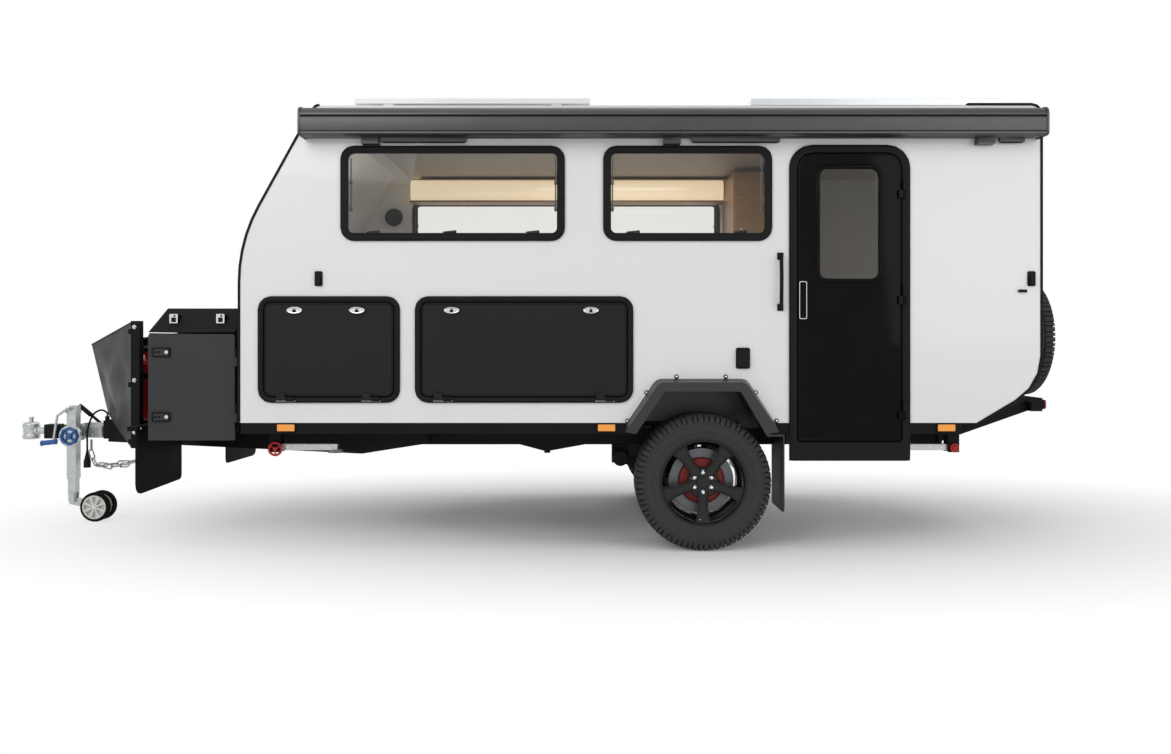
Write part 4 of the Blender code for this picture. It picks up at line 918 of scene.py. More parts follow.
def tread_block(corners, low, high, chamfer=0.0022):
    """Rubber block on the tread, from (degrees round, across) corners, its top edge eased."""
    bm = bmesh.new()
    middle_a = sum(a for a, y in corners) / len(corners)
    middle_y = sum(y for a, y in corners) / len(corners)

    def ring(radius, shrink):
        points = []
        for a, y in corners:
            arc = math.radians(a - middle_a) * radius
            span = math.hypot(arc, y - middle_y) or 1.0
            keep = max(0.0, 1 - shrink / span)
            angle = math.radians(middle_a) + arc * keep / radius
            points.append(
                (
                    radius * math.cos(angle),
                    radius * math.sin(angle),
                    middle_y + (y - middle_y) * keep,
                )
            )
        return points

    skin(bm, [ring(low, 0), ring(high - chamfer, 0.0006), ring(high, chamfer)])
    return bm


def tread(finish):
    """Staggered blocks round the tread, and the lugs that run down its shoulders."""
    z = HALF_TREAD
    halves = ((1, 0), (-1, 180 / PITCHES))
    meshes = []
    for side, shift in halves:
        for block in TREAD_BLOCKS:
            row = [(a + shift, side * y) for a, y in block]
            bm = tread_block(row, TYRE_R - 0.016, TYRE_R - 0.0002)
            meshes.append(around(bm, PITCHES, finish))
    for side, shift in halves:
        for start, width, foot in ((0.4, 4.2, 0.338), (5.9, 3.2, 0.350)):
            bm = bmesh.new()
            rings = []
            for radius, out, half in (
                (TYRE_R - 0.0006, 0.099, 0.44), (TYRE_R - 0.004, 0.112, 0.50),
                (TYRE_R - 0.016, 0.1255, 0.50), (0.362, 0.1318, 0.46), (foot, z - 0.0002, 0.34),
                (foot - 0.004, 0.1290, 0.30), (foot + 0.004, 0.118, 0.30), (0.366, 0.110, 0.46),
                (TYRE_R - 0.014, 0.098, 0.50),
            ):
                ends = []
                for way in (-1, 1):
                    angle = math.radians(start + shift + width / 2 + way * half * width)
                    ends.append((radius * math.cos(angle), radius * math.sin(angle), side * out))
                rings.append(ends)
            skin(bm, [[ends[way] for ends in rings] for way in (0, 1)])
            meshes.append(around(bm, PITCHES, finish))
    return meshes


def carcass(bm):
    """Tyre casing: round sidewalls with their ribs, a rim protector and the bead."""
    half = [
        (TYRE_R - 0.0105, 0.000), (TYRE_R - 0.0108, 0.050), (TYRE_R - 0.0125, 0.088),
        (TYRE_R - 0.0180, 0.106), (0.358, 0.1195), (0.345, 0.1275), (0.334, 0.1300),
        (0.333, 0.1312), (0.3300, 0.1314), (0.3285, 0.1302), (0.310, 0.1316), (0.300, 0.1315),
        (0.2925, 0.1300), (0.2915, 0.1312), (0.2885, 0.1308), (0.2875, 0.1288), (0.276, 0.1262),
        (0.268, 0.1238), (0.2665, 0.1248), (0.2600, 0.1240), (0.2570, 0.1205), (0.2500, 0.1165),
        (0.2445, 0.1140), (0.2400, 0.1090), (0.2360, 0.1020),
    ]
    loop = [*half, *[(r, -z) for r, z in half[:0:-1]]]
    spun(bm, loop, 144)


def spoke(bm, turn):
    """One wide spoke of the alloy wheel: dished face with raised edges, from hub to rim."""
    rows = []
    for r, half, top in (
        (0.052, 0.034, 0.094), (0.090, 0.030, 0.0985), (0.135, 0.027, 0.1000),
        (0.180, 0.034, 0.1030), (0.212, 0.044, 0.1065), (0.229, 0.054, 0.1085),
    ):
        lip = 0.0045
        rows.append(
            [
                (r, -half, 0.058), (r, -half, top - 0.003), (r, -half + 0.003, top),
                (r, -half + lip + 0.003, top), (r, -half + lip + 0.006, top - 0.004),
                (r, half - lip - 0.006, top - 0.004), (r, half - lip - 0.003, top),
                (r, half - 0.003, top), (r, half, top - 0.003), (r, half, 0.058),
            ]
        )
    matrix = Matrix.Rotation(turn, 3, "Z")
    skin(bm, [[matrix @ Vector(point) for point in row] for row in rows])


def rim_shape(bm):
    """Barrel with its outer lip, hub pad and five spokes."""
    profile = [
        (0.2428, 0.1188), (0.2400, 0.1190), (0.2360, 0.1180), (0.2345, 0.1140), (0.2320, 0.1080),
        (0.2290, 0.1050), (0.2245, 0.1000), (0.2235, 0.0600), (0.2080, 0.0300), (0.2080, -0.0700),
        (0.2240, -0.0950), (0.2260, -0.1180), (0.2428, -0.1188), (0.2428, -0.1130),
        (0.2350, -0.1100), (0.2345, -0.0900), (0.2150, -0.0650), (0.2150, 0.0300), (0.2345, 0.0650),
        (0.2350, 0.1100), (0.2428, 0.1130),
    ]
    spun(bm, profile, 96)
    lathe(
        bm,
        [
            (0.0, 0.046), (0.086, 0.046), (0.088, 0.050), (0.088, 0.084), (0.084, 0.0885),
            (0.050, 0.0885), (0.048, 0.086), (0.0, 0.086),
        ],
        ORIGIN,
        UP,
        64,
    )
    lathe(
        bm,
        [
            (0.0, 0.080), (0.036, 0.080), (0.036, 0.096), (0.034, 0.100), (0.028, 0.1015),
            (0.0, 0.1018),
        ],
        ORIGIN,
        UP,
        40,
    )
    for i in range(SPOKES):
        spoke(bm, math.radians(90 + 360 / SPOKES * i))


def stud(bm):
    """Wheel nut: hexagon with a domed end, on its seat."""
    lathe(
        bm,
        [(0.0, 0.084), (0.0115, 0.084), (0.0125, 0.0865), (0.0125, 0.0895), (0.0, 0.0895)],
        (NUT_CIRCLE, 0, 0),
        UP,
        24,
    )
    lathe(
        bm,
        [
            (0.0, 0.088), (0.0098, 0.088), (0.0098, 0.103), (0.0082, 0.1065), (0.0045, 0.1088),
            (0.0, 0.1092),
        ],
        (NUT_CIRCLE, 0, 0),
        UP,
        6,
    )


def brake(bm):
    """Disc with its hat, behind the spokes."""
    lathe(
        bm,
        [
            (0.0, 0.020), (0.085, 0.020), (0.095, 0.004), (0.185, 0.004), (0.187, 0.002),
            (0.187, -0.018), (0.0, -0.018),
        ],
        ORIGIN,
        UP,
        72,
    )


def drum(bm):
    """Primed backing drum inside the disc's ring."""
    lathe(
        bm,
        [(0.0, 0.036), (0.118, 0.036), (0.128, 0.030), (0.134, 0.018), (0.134, 0.0), (0.0, 0.0)],
        ORIGIN,
        UP,
        64,
    )
    for i in range(10):
        angle = math.tau * i / 10
        spot = (0.108 * math.cos(angle), 0.108 * math.sin(angle), 0)
        lathe(
            bm,
            [(0.0, 0.03), (0.008, 0.03), (0.008, 0.042), (0.006, 0.044), (0.0, 0.044)],
            spot,
            UP,
            6,
        )


def valve(bm):
    """Tyre valve in the lip."""
    pipe(bm, [(0.021, 0.214, 0.098), (0.021, 0.211, 0.113), (0.020, 0.207, 0.1175)], 0.0034, 8)


def wheels():
    """The road wheels and the spare, each from its tyre, alloy, nuts, valve and brake."""
    for name, centre, outward, body in WHEELS:
        place = wheel_place(centre, outward)
        rubber = shape(TYRE, carcass)
        whole = gathered(
            f"all_terrain_tyre_{name}", [rubber, *tread(TYRE)], body, place, 32
        )
        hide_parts(f"tyre_{name}")
        nuts = bmesh.new()
        stud(nuts)
        alloy = gathered(
            f"five_spoke_wheel_{name}",
            [shape(WHEEL_PAINT, rim_shape)],
            body,
            place,
            32,
        )
        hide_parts(f"rim_{name}")
        gathered(
            f"wheel_nuts_{name}",
            [around(nuts, NUTS, STAINLESS, math.radians(30))],
            body,
            place,
            30,
        )
        gathered(f"tyre_valve_{name}", [shape(MILL, valve)], body, place, 40)
        if name != "spare":
            gathered(f"brake_disc_{name}", [shape(CAST, brake)], body, place, 30)
            gathered(
                f"brake_drum_{name}", [shape(RED_PRIMER, drum)], body, place, 30
            )


wheels()

# Openings in the side walls, as in the part's source: (x range, z range)
WINDOW_Z = (1.761, 2.300)
WINDOWS = {"front": (-0.995, 0.276), "rear": (0.4925, 1.450)}
HATCH_Z = (0.844, 1.448)
HATCHES = {"front": (-1.4626, -0.659), "rear": (-0.5734, 0.6635)}
DOOR_X = (1.547, 2.231)
DOOR_TOP = 2.305
# Foot of the door leaf
LEAF_SILL = 0.578
WALL_OUT = 1.05
FACE_NEAR = (math.pi / 2, 0, 0)
FACE_FAR = (-math.pi / 2, 0, 0)
FACES = {-1: FACE_NEAR, 1: FACE_FAR}
# Radius of the corners of the windows and hatches
CORNER = 0.075


def moulding(bm, x_range, z_range, radius, profile, side=-1):
    """A frame swept round a rounded opening, from (inset, stand-out from the wall) points."""
    rings = []
    for inset, out in profile:
        outline = round_rect(
            x_range[0] + inset,
            x_range[1] - inset,
            z_range[0] + inset,
            z_range[1] - inset,
            max(0.004, radius - inset),
            8,
        )
        rings.append([(x, side * (WALL_OUT + out), z) for x, z in outline])
    skin(bm, rings, closed=True)


WINDOW_PROFILE = (
    (0.0000, 0.0004), (0.0008, 0.0100), (0.0050, 0.0142), (0.0120, 0.0154), (0.0270, 0.0148),
    (0.0350, 0.0136), (0.0375, 0.0150), (0.0420, 0.0152), (0.0450, 0.0128), (0.0450, 0.0122),
    (0.0300, 0.0100),
)
HATCH_PROFILE = (
    (0.0000, 0.0004), (0.0010, 0.0105), (0.0060, 0.0152), (0.0120, 0.0164), (0.0210, 0.0158),
    (0.0280, 0.0126), (0.0296, 0.0060), (0.0200, 0.0020),
)
LEAF_PROFILE = (
    (0.0362, 0.0060), (0.0366, 0.0105), (0.0390, 0.0124), (0.0440, 0.0128), (0.0470, 0.0112),
    (0.0480, 0.0098), (0.0480, 0.0060),
)


def windows():
    """Rounded frames with a pane bead, and the catches on the panes' inner sills."""
    for side, sign in SIDES:
        for place, span in WINDOWS.items():
            bm = bmesh.new()
            moulding(bm, span, WINDOW_Z, CORNER, WINDOW_PROFILE, sign)
            finished(
                f"window_moulding_{side}_{place}", bm, ABS, "van", smooth=50
            )
        unit = bmesh.new()
        block(unit, (-0.038, -0.006, -0.011), (0.038, 0.006, 0.009))
        block(unit, (-0.012, -0.014, -0.006), (0.034, 0.004, 0.004))
        spots = [
            (
                (x, sign * (WALL_OUT - 0.020), 1.812),
                (0, math.radians(-6), 0 if sign < 0 else math.pi),
            )
            for x in (-0.813, -0.380, 0.093, 0.664, 1.274)
        ]
        gathered(
            f"window_catches_{side}",
            [at_spots(unit, spots, ABS)],
            "van",
            bevel=0.0015,
        )
        bm = bmesh.new()
        for x in (-0.942, 0.222, 0.546, 1.396):
            y = sorted((sign * 1.030, sign * 1.022))
            block(bm, (x - 0.004, y[0], 1.930), (x + 0.004, y[1], 2.238))
            for z in (1.935, 2.085):
                block(bm, (x - 0.008, y[0] - 0.002, z), (x + 0.008, y[1] + 0.002, z + 0.022))
        finished(f"window_stays_{side}", bm, CAST, "van", bevel=0.001)


windows()


def hatch_latch_shell(bm):
    """Oval lock cup with a raised rim, about the origin and facing up."""
    ring = [
        (0.043, 0.018, 0.0), (0.044, 0.019, 0.006), (0.041, 0.0165, 0.0085), (0.037, 0.013, 0.0080),
        (0.033, 0.010, 0.0050),
    ]
    rings = []
    for a, b, z in ring:
        rings.append(
            [
                (a * math.cos(math.tau * i / 36), b * math.sin(math.tau * i / 36), z)
                for i in range(36)
            ]
        )
    skin(bm, rings)


def hatch_key(bm):
    """Key barrel of a hatch lock, with its slot."""
    disc(bm, (0, -0.003, 0), UP, 0.0095, 0.004, 0.0115, 20, 0.0015)
    block(bm, (-0.0012, -0.0095, 0.0110), (0.0012, 0.0035, 0.0125))


def hatches():
    """Frames, door beads and oval locks of the two side hatches."""
    for place, span in HATCHES.items():
        body = f"hatch_{place}"
        bm = bmesh.new()
        moulding(bm, span, HATCH_Z, CORNER, HATCH_PROFILE)
        finished(f"hatch_moulding_{place}", bm, ABS, "van", smooth=50)
        bm = bmesh.new()
        moulding(bm, span, HATCH_Z, CORNER, LEAF_PROFILE)
        finished(f"hatch_door_bead_{place}", bm, ABS, body, smooth=50)
        spots = [((x, SIDE - 0.0195, 1.368), FACE_NEAR) for x in (span[0] + 0.21, span[1] - 0.24)]
        shells, keys = bmesh.new(), bmesh.new()
        hatch_latch_shell(shells)
        hatch_key(keys)
        meshes = [at_spots(shells, spots, STAINLESS), at_spots(keys, spots, ABS)]
        gathered(f"hatch_locks_{place}", meshes, body)
        bm = bmesh.new()
        outer, inner = (
            round_rect(
                span[0] + i, span[1] - i, HATCH_Z[0] + i, HATCH_Z[1] - i, CORNER - i
            ) for i in (0.0263, 0.0520)
        )
        band(bm, outer, inner, "Y", -1.0250, -1.0170)
        finished(f"hatch_seal_{place}", bm, FLAP, "van", bevel=0.001)
        bm = bmesh.new()
        for x in (span[0] + 0.16, span[1] - 0.16):
            block(bm, (x - 0.055, SIDE - 0.0180, 0.849), (x + 0.055, SIDE - 0.0150, 0.860))
        finished(f"hatch_hinge_covers_{place}", bm, CAST, "van", bevel=0.001)


hatches()


def door_outline(grow, sill, radius=0.13):
    """Door's outline: square foot, round top corners."""
    (x0, x1), top = (DOOR_X[0] - grow, DOOR_X[1] + grow), DOOR_TOP + grow
    r = radius + grow
    points = []
    for cx, cz, start in ((x1 - r, top - r, 0), (x0 + r, top - r, 90)):
        for step in range(11):
            angle = math.radians(start + 9 * step)
            points.append((cx + r * math.cos(angle), cz + r * math.sin(angle)))
    return [(x1, sill), *points, (x0, sill)]


def door_band(name, sill, profile, finish, body, smooth):
    """A frame swept round the door, from (inset, stand-out from the wall) points."""
    bm = bmesh.new()
    rings = []
    for inset, out in profile:
        rings.append([(x, SIDE - out, z) for x, z in door_outline(-inset, sill + inset)])
    skin(bm, rings, closed=True)
    finished(name, bm, finish, body, smooth=smooth)


DOOR_FRAME = (
    (0.0, 0.0004), (0.001, 0.0105), (0.006, 0.0150), (0.014, 0.0162), (0.026, 0.0150),
    (0.038, 0.0142), (0.042, 0.0122), (0.042, 0.004),
)
DOOR_BEAD = (
    (0.0495, 0.004), (0.0500, 0.0105), (0.0520, 0.0122), (0.0575, 0.0122), (0.0600, 0.0105),
    (0.0600, 0.004),
)
DOOR_SEAL = ((0.0384, -0.0350), (0.0384, -0.0288), (0.0610, -0.0288), (0.0610, -0.0350))


def door():
    """Door frame moulding, leaf bead, seal, window surround, flush handle and lock."""
    door_band("door_moulding", 0.516, DOOR_FRAME, ABS, "van", 50)
    door_band("door_leaf_bead", LEAF_SILL, DOOR_BEAD, PIANO, "entry_door", 50)
    door_band("door_seal", LEAF_SILL, DOOR_SEAL, FLAP, "van", 35)
    bm = bmesh.new()
    surround = (
        (-0.016, 0.0090), (-0.015, 0.0125), (-0.010, 0.0155), (0.000, 0.0160), (0.007, 0.0135),
        (0.009, 0.0095), (0.009, 0.0060), (0.000, 0.0060),
    )
    moulding(bm, (1.712, 2.060), (1.539, 2.177), 0.05, surround)
    finished("door_window_surround", bm, PIANO, "entry_door", smooth=50)
    bm = bmesh.new()
    band(
        bm,
        round_rect(1.600, 1.644, 1.318, 1.532, 0.010),
        round_rect(1.6045, 1.6395, 1.3225, 1.5275, 0.007),
        "Y",
        SIDE - 0.0255,
        SIDE - 0.0130,
    )
    finished("door_handle_rim", bm, STAINLESS, "entry_door", bevel=0.001)
    bm = bmesh.new()
    prism(bm, round_rect(1.608, 1.636, 1.345, 1.460, 0.006), "Y", SIDE - 0.0262, SIDE - 0.0215)
    disc(bm, (1.622, SIDE, 1.495), (0, -1, 0), 0.010, 0.0215, 0.0265, 24, 0.001)
    finished("door_handle_paddle", bm, PIANO, "entry_door", bevel=0.0012)


door()


def lamps():
    """Amber side markers and red rear lamps, each a moulded lens on its block."""
    for side, sign in SIDES:
        bm = bmesh.new()
        for x in (-1.303, 0.512, 2.436):
            y = sorted((sign * 1.0575, sign * 1.0665))
            prism(bm, round_rect(x - 0.049, x + 0.049, 0.684, 0.722, 0.004), "Y", *y)
        finished(f"marker_lenses_{side}", bm, AMBER, "van", bevel=0.002)
    bm = bmesh.new()
    for sign in (-1, 1):
        y0, y1 = sorted((sign * 0.505, sign * 0.730))
        prism(bm, round_rect(y0, y1, 0.788, 0.838, 0.008), "X", 3.1495, 3.162)
    finished("rear_lamp_lenses", bm, RED_LENS, "van", bevel=0.003)


lamps()


def awning():
    """Grooved lead rail with painted shade in its grooves, end plates and lens strips of the rolled
    awning's case.
    """
    bm = bmesh.new()
    for low, high, out in (
        (2.3425, 2.3555, 1.1835), (2.3600, 2.3640, 1.1820), (2.4330, 2.4365, 1.1822)
    ):
        block(bm, (-1.187, -out, low), (2.947, -1.176, high))
    finished("awning_rail", bm, ANODISED, "van", bevel=0.0012)
    # Black strips along the rail's grooves: painted shade of the grooves
    bm = bmesh.new()
    for low, high, out in ((2.3558, 2.3597, 1.1826), (2.4385, 2.4480, 1.1826)):
        block(bm, (-1.187, -out, low), (2.947, -1.176, high))
    finished("awning_rail_infill", bm, FLAP, "van")
    bm = bmesh.new()
    for x in (-1.1995, 2.9485):
        outline = [
            (-1.150, 2.352), (-1.070, 2.352), (-1.070, 2.470), (-1.120, 2.470), (-1.150, 2.450)
        ]
        prism(
            bm,
            outline,
            "X",
            x - 0.0004 if x < 0 else x + 0.0105,
            x + 0.002 if x < 0 else x + 0.0114,
        )
    finished("awning_end_plates", bm, ABS, "van", bevel=0.0003)
    bm = bmesh.new()
    for low, high in ((-0.76, -0.28), (0.99, 1.49), (2.73, 2.87)):
        prism(
            bm, round_rect(low + 0.008, high - 0.008, -1.0820, -1.0630, 0.004), "Z", 2.3135, 2.3185
        )
    finished("awning_light_strips", bm, PIANO, "van", bevel=0.001)
    bm = bmesh.new()
    for x in (-1.120, 2.920):
        prism(bm, round_rect(x - 0.022, x + 0.022, 1.505, 1.590, 0.008), "Y", -1.060, -PROUD)
        prism(bm, round_rect(x - 0.014, x + 0.014, 1.512, 1.560, 0.006), "Y", -1.076, -1.058)
    prism(bm, round_rect(2.846, 2.892, 1.470, 1.486, 0.004), "Y", -1.066, -PROUD)
    finished("awning_leg_brackets", bm, ABS, "van", bevel=0.002)
    bm = bmesh.new()
    prism(bm, round_rect(1.245, 1.325, 1.037, 1.157, 0.012), "Y", -1.060, -PROUD)
    prism(bm, round_rect(1.251, 1.319, 1.045, 1.138, 0.010), "Y", -1.078, -1.058)
    block(bm, (1.268, -1.080, 1.046), (1.302, -1.074, 1.054))
    finished("power_inlet", bm, ABS, "van", bevel=0.003)


awning()


def flare_bolts():
    """Domed screws on black washers along the outer edge of each wheel-arch flare."""
    around_arch = (
        (0.9086, 0.992), (1.188, 0.992), (0.7380, 0.903), (1.3585, 0.903), (0.6300, 0.742),
        (1.4760, 0.742),
    )
    for side, sign in SIDES:
        spots = [((x, sign * PROUD, z), FACES[sign]) for x, z in around_arch]
        washer, dome = bmesh.new(), bmesh.new()
        disc(washer, ORIGIN, UP, 0.0125, 0.0, 0.004, 24, 0.001)
        lathe(
            dome,
            [(0.0075, 0.003), (0.0072, 0.0055), (0.0055, 0.0078), (0.0025, 0.0088), (0.0, 0.009)],
            ORIGIN,
            UP,
            16,
        )
        bm = bmesh.new()
        outline = [(1.290, 0.699), (1.375, 0.699), (1.375, 0.750), (1.262, 0.750), (1.262, 0.722)]
        prism(bm, outline, "Y", *sorted((sign * 1.0562, sign * 1.0503)))
        finished(f"arch_liner_edge_{side}", bm, ABS, "van", bevel=0.002)
        gathered(
            f"flare_bolts_{side}",
            [at_spots(washer, spots, ABS), at_spots(dome, spots, STAINLESS)],
            "van",
        )


flare_bolts()


# Faces of the cupboard fronts and of the far wall's lining
FRONT_Y = 0.432
LINING_Y = 0.998


def cabin():
    """What shows through the panes: ceiling, blind cassettes, speaker, worktop and cupboards."""
    bm = bmesh.new()
    block(bm, (-0.98, -0.995, 2.458), (2.86, 0.995, 2.4685))
    finished("ceiling_lining", bm, CEILING, "van")
    # The blind cassettes glow: painted light of the cabin lamps falling on them
    bm = bmesh.new()
    y = 0.84
    outline = [(y, 2.272), (LINING_Y, 2.268), (LINING_Y, 2.430), (y + 0.02, 2.430)]
    outline += [(y - 0.012, 2.400), (y - 0.018, 2.350), (y - 0.010, 2.300)]
    for low, high in ((-0.96, 0.25), (0.50, 1.44)):
        prism(bm, outline, "X", low, high)
    finished("blind_cassettes", bm, CASSETTE_PAINTED_GLOW, "van", bevel=0.004)
    bm = bmesh.new()
    for low, high in ((-0.965, 0.255), (0.495, 1.445)):
        block(bm, (low, 0.822, 2.256), (high, LINING_Y, 2.270))
    block(bm, (0.292, 0.955, 1.70), (0.470, LINING_Y, 2.430))
    finished("cassette_rails", bm, OAK, "van", bevel=0.003)
    bm = bmesh.new()
    lathe(
        bm,
        [
            (0.0, 0.0), (0.066, 0.0), (0.070, 0.006), (0.066, 0.014), (0.058, 0.010),
            (0.020, 0.004), (0.0, 0.006),
        ],
        (-1.12, 0.9925, 2.16), (0, -1, 0),
        40,
    )
    finished("cabin_speaker", bm, ABS, "van")
    bm = bmesh.new()
    block(bm, (0.14, FRONT_Y, 1.6604), (1.456, LINING_Y, 1.688))
    finished("worktop", bm, CEILING, "van", bevel=0.004)
    fronts = bmesh.new()
    knobs = bmesh.new()

    def knob(x, z):
        disc(knobs, (x, FRONT_Y, z), (0, -1, 0), 0.012, 0.0, 0.016, 20, 0.002)

    for i in range(3):
        x = 0.165 + i * 0.433
        block(fronts, (x, FRONT_Y, 0.80), (x + 0.418, 0.4495, 1.36))
        block(fronts, (x, FRONT_Y, 1.372), (x + 0.418, 0.4495, 1.640))
        knob(x + 0.209, 1.32)
        knob(x + 0.209, 1.56)
    for low, high in ((0.80, 1.60), (1.612, 2.39)):
        block(fronts, (1.474, FRONT_Y, low), (1.934, 0.4495, high))
        knob(1.515, (low + high) / 2)
    finished("cupboard_fronts", fronts, OAK, "van", bevel=0.002)
    finished("cupboard_knobs", knobs, STAINLESS, "van")


cabin()

COUPLING_Z = 0.585
HEAD_X = -3.372
FACE_FRONT = (0, -math.pi / 2, 0)


def hex_bolt(bm):
    """Bolt head on its washer, facing up from the origin."""
    disc(bm, ORIGIN, UP, 0.0105, 0.0, 0.002, 20, 0.0005)
    lathe(
        bm,
        [(0.0, 0.0015), (0.0080, 0.0015), (0.0080, 0.0060), (0.0070, 0.0074), (0.0, 0.0076)],
        ORIGIN,
        UP,
        6,
    )


def bolts(name, spots, body, size=1.0):
    """Bolt heads at (place, angles) spots, as one piece."""
    unit = bmesh.new()
    hex_bolt(unit)
    return gathered(name, [at_spots(unit, spots, STAINLESS, size)], body)


def coupling_casting(bm):
    """Turned hitch head, fork shaft, and the body with its cheek plates."""
    z = COUPLING_Z
    head = [
        (0.0, -0.055), (0.046, -0.055), (0.0530, -0.048), (0.0540, -0.030), (0.0490, -0.022),
        (0.0490, 0.018), (0.0540, 0.026), (0.0525, 0.046), (0.040, 0.058), (0.020, 0.060),
        (0.0, 0.060),
    ]
    lathe(bm, head, (HEAD_X, 0, z), UP, 40)
    lathe(
        bm,
        [
            (0.0, 0.055), (0.013, 0.055), (0.013, 0.082), (0.0165, 0.084), (0.0165, 0.092),
            (0.012, 0.095), (0.0, 0.095),
        ],
        (HEAD_X, 0, z),
        UP,
        24,
    )
    lathe(
        bm,
        [
            (0.0, 0.0), (0.034, 0.0), (0.034, 0.018), (0.023, 0.030), (0.023, 0.070),
            (0.031, 0.076), (0.031, 0.092), (0.0, 0.092),
        ],
        (-3.345, 0, z), (1, 0, 0),
        32,
    )
    prism(
        bm,
        [
            (-3.10, z - 0.043), (-2.8405, z - 0.044), (-2.8405, z + 0.058), (-2.98, z + 0.058),
            (-3.02, z + 0.048), (-3.10, z + 0.044),
        ],
        "Y",
        -0.040,
        0.040,
    )
    for y in (-0.0415, 0.0365):
        prism(
            bm,
            [
                (-3.075, z - 0.036), (-2.86, z - 0.036), (-2.86, z + 0.036), (-3.04, z + 0.036),
                (-3.075, z + 0.020),
            ],
            "Y",
            y,
            y + 0.005,
        )


def coupling():
    """Hitch, damper block, bellows, jockey clamp and handbrake lever."""
    z = COUPLING_Z
    bm = bmesh.new()
    coupling_casting(bm)
    low_y, high_y = -0.0945, -0.032
    prism(bm, round_rect(-3.068, -2.962, z - 0.053, z + 0.053, 0.012), "Y", low_y, low_y + 0.010)
    for x in (-3.052, -2.980):
        block(bm, (x - 0.010, low_y + 0.006, z - 0.045), (x + 0.010, high_y, z + 0.045))
    prism(bm, round_rect(-2.950, -2.862, z - 0.038, z + 0.040, 0.010), "Y", -0.062, -0.040)
    cast = finished("coupling_casting", bm, ZINC, "van", bevel=0.0018)
    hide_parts("coupling")
    bm = bmesh.new()
    prism(bm, round_rect(-0.045, 0.045, z - 0.050, z + 0.045, 0.008), "X", -3.262, -3.172)
    ribs = [(0.0, 0.0), (0.036, 0.0)]
    for i in range(5):
        ribs += [(0.042, 0.006 + i * 0.015), (0.034, 0.0135 + i * 0.015)]
    ribs += [(0.034, 0.078), (0.0, 0.078)]
    lathe(bm, ribs, (-3.176, 0, z), (1, 0, 0), 36)
    finished("damper_block_and_bellows", bm, ABS, "van", bevel=0.001)
    bm = bmesh.new()
    pipe(bm, [(-2.896, 0, z + 0.047), (-2.925, 0, z + 0.071), (-2.975, 0, z + 0.112)], 0.0095, 16)
    pipe(
        bm,
        eased(
            [
                (-2.968, 0, z + 0.106), (-2.990, 0, z + 0.125), (-3.030, 0, z + 0.158),
                (-3.047, 0, z + 0.170),
            ],
            3,
        ),
        0.0150,
        20,
    )
    finished("handbrake_lever", bm, ABS, "van", smooth=40)
    spots = [((x, -0.0945, z + dz), FACE_NEAR) for x in (-3.054, -2.976) for dz in (-0.036, 0.036)]
    spots += [((x, -0.0620, z + dz), FACE_NEAR) for x in (-2.935, -2.878) for dz in (-0.022, 0.024)]
    spots += [
        ((x, 0.0415, z + dz), FACE_FAR) for x in (-3.04, -2.96, -2.88) for dz in (-0.018, 0.018)
    ]
    bolts("coupling_bolts", spots, "van")


coupling()

JOCKEY = (-3.017, -0.125)
JOCKEY_HUB = (-2.850, -0.125, 0.0975)
CLAMP_Z = 0.565


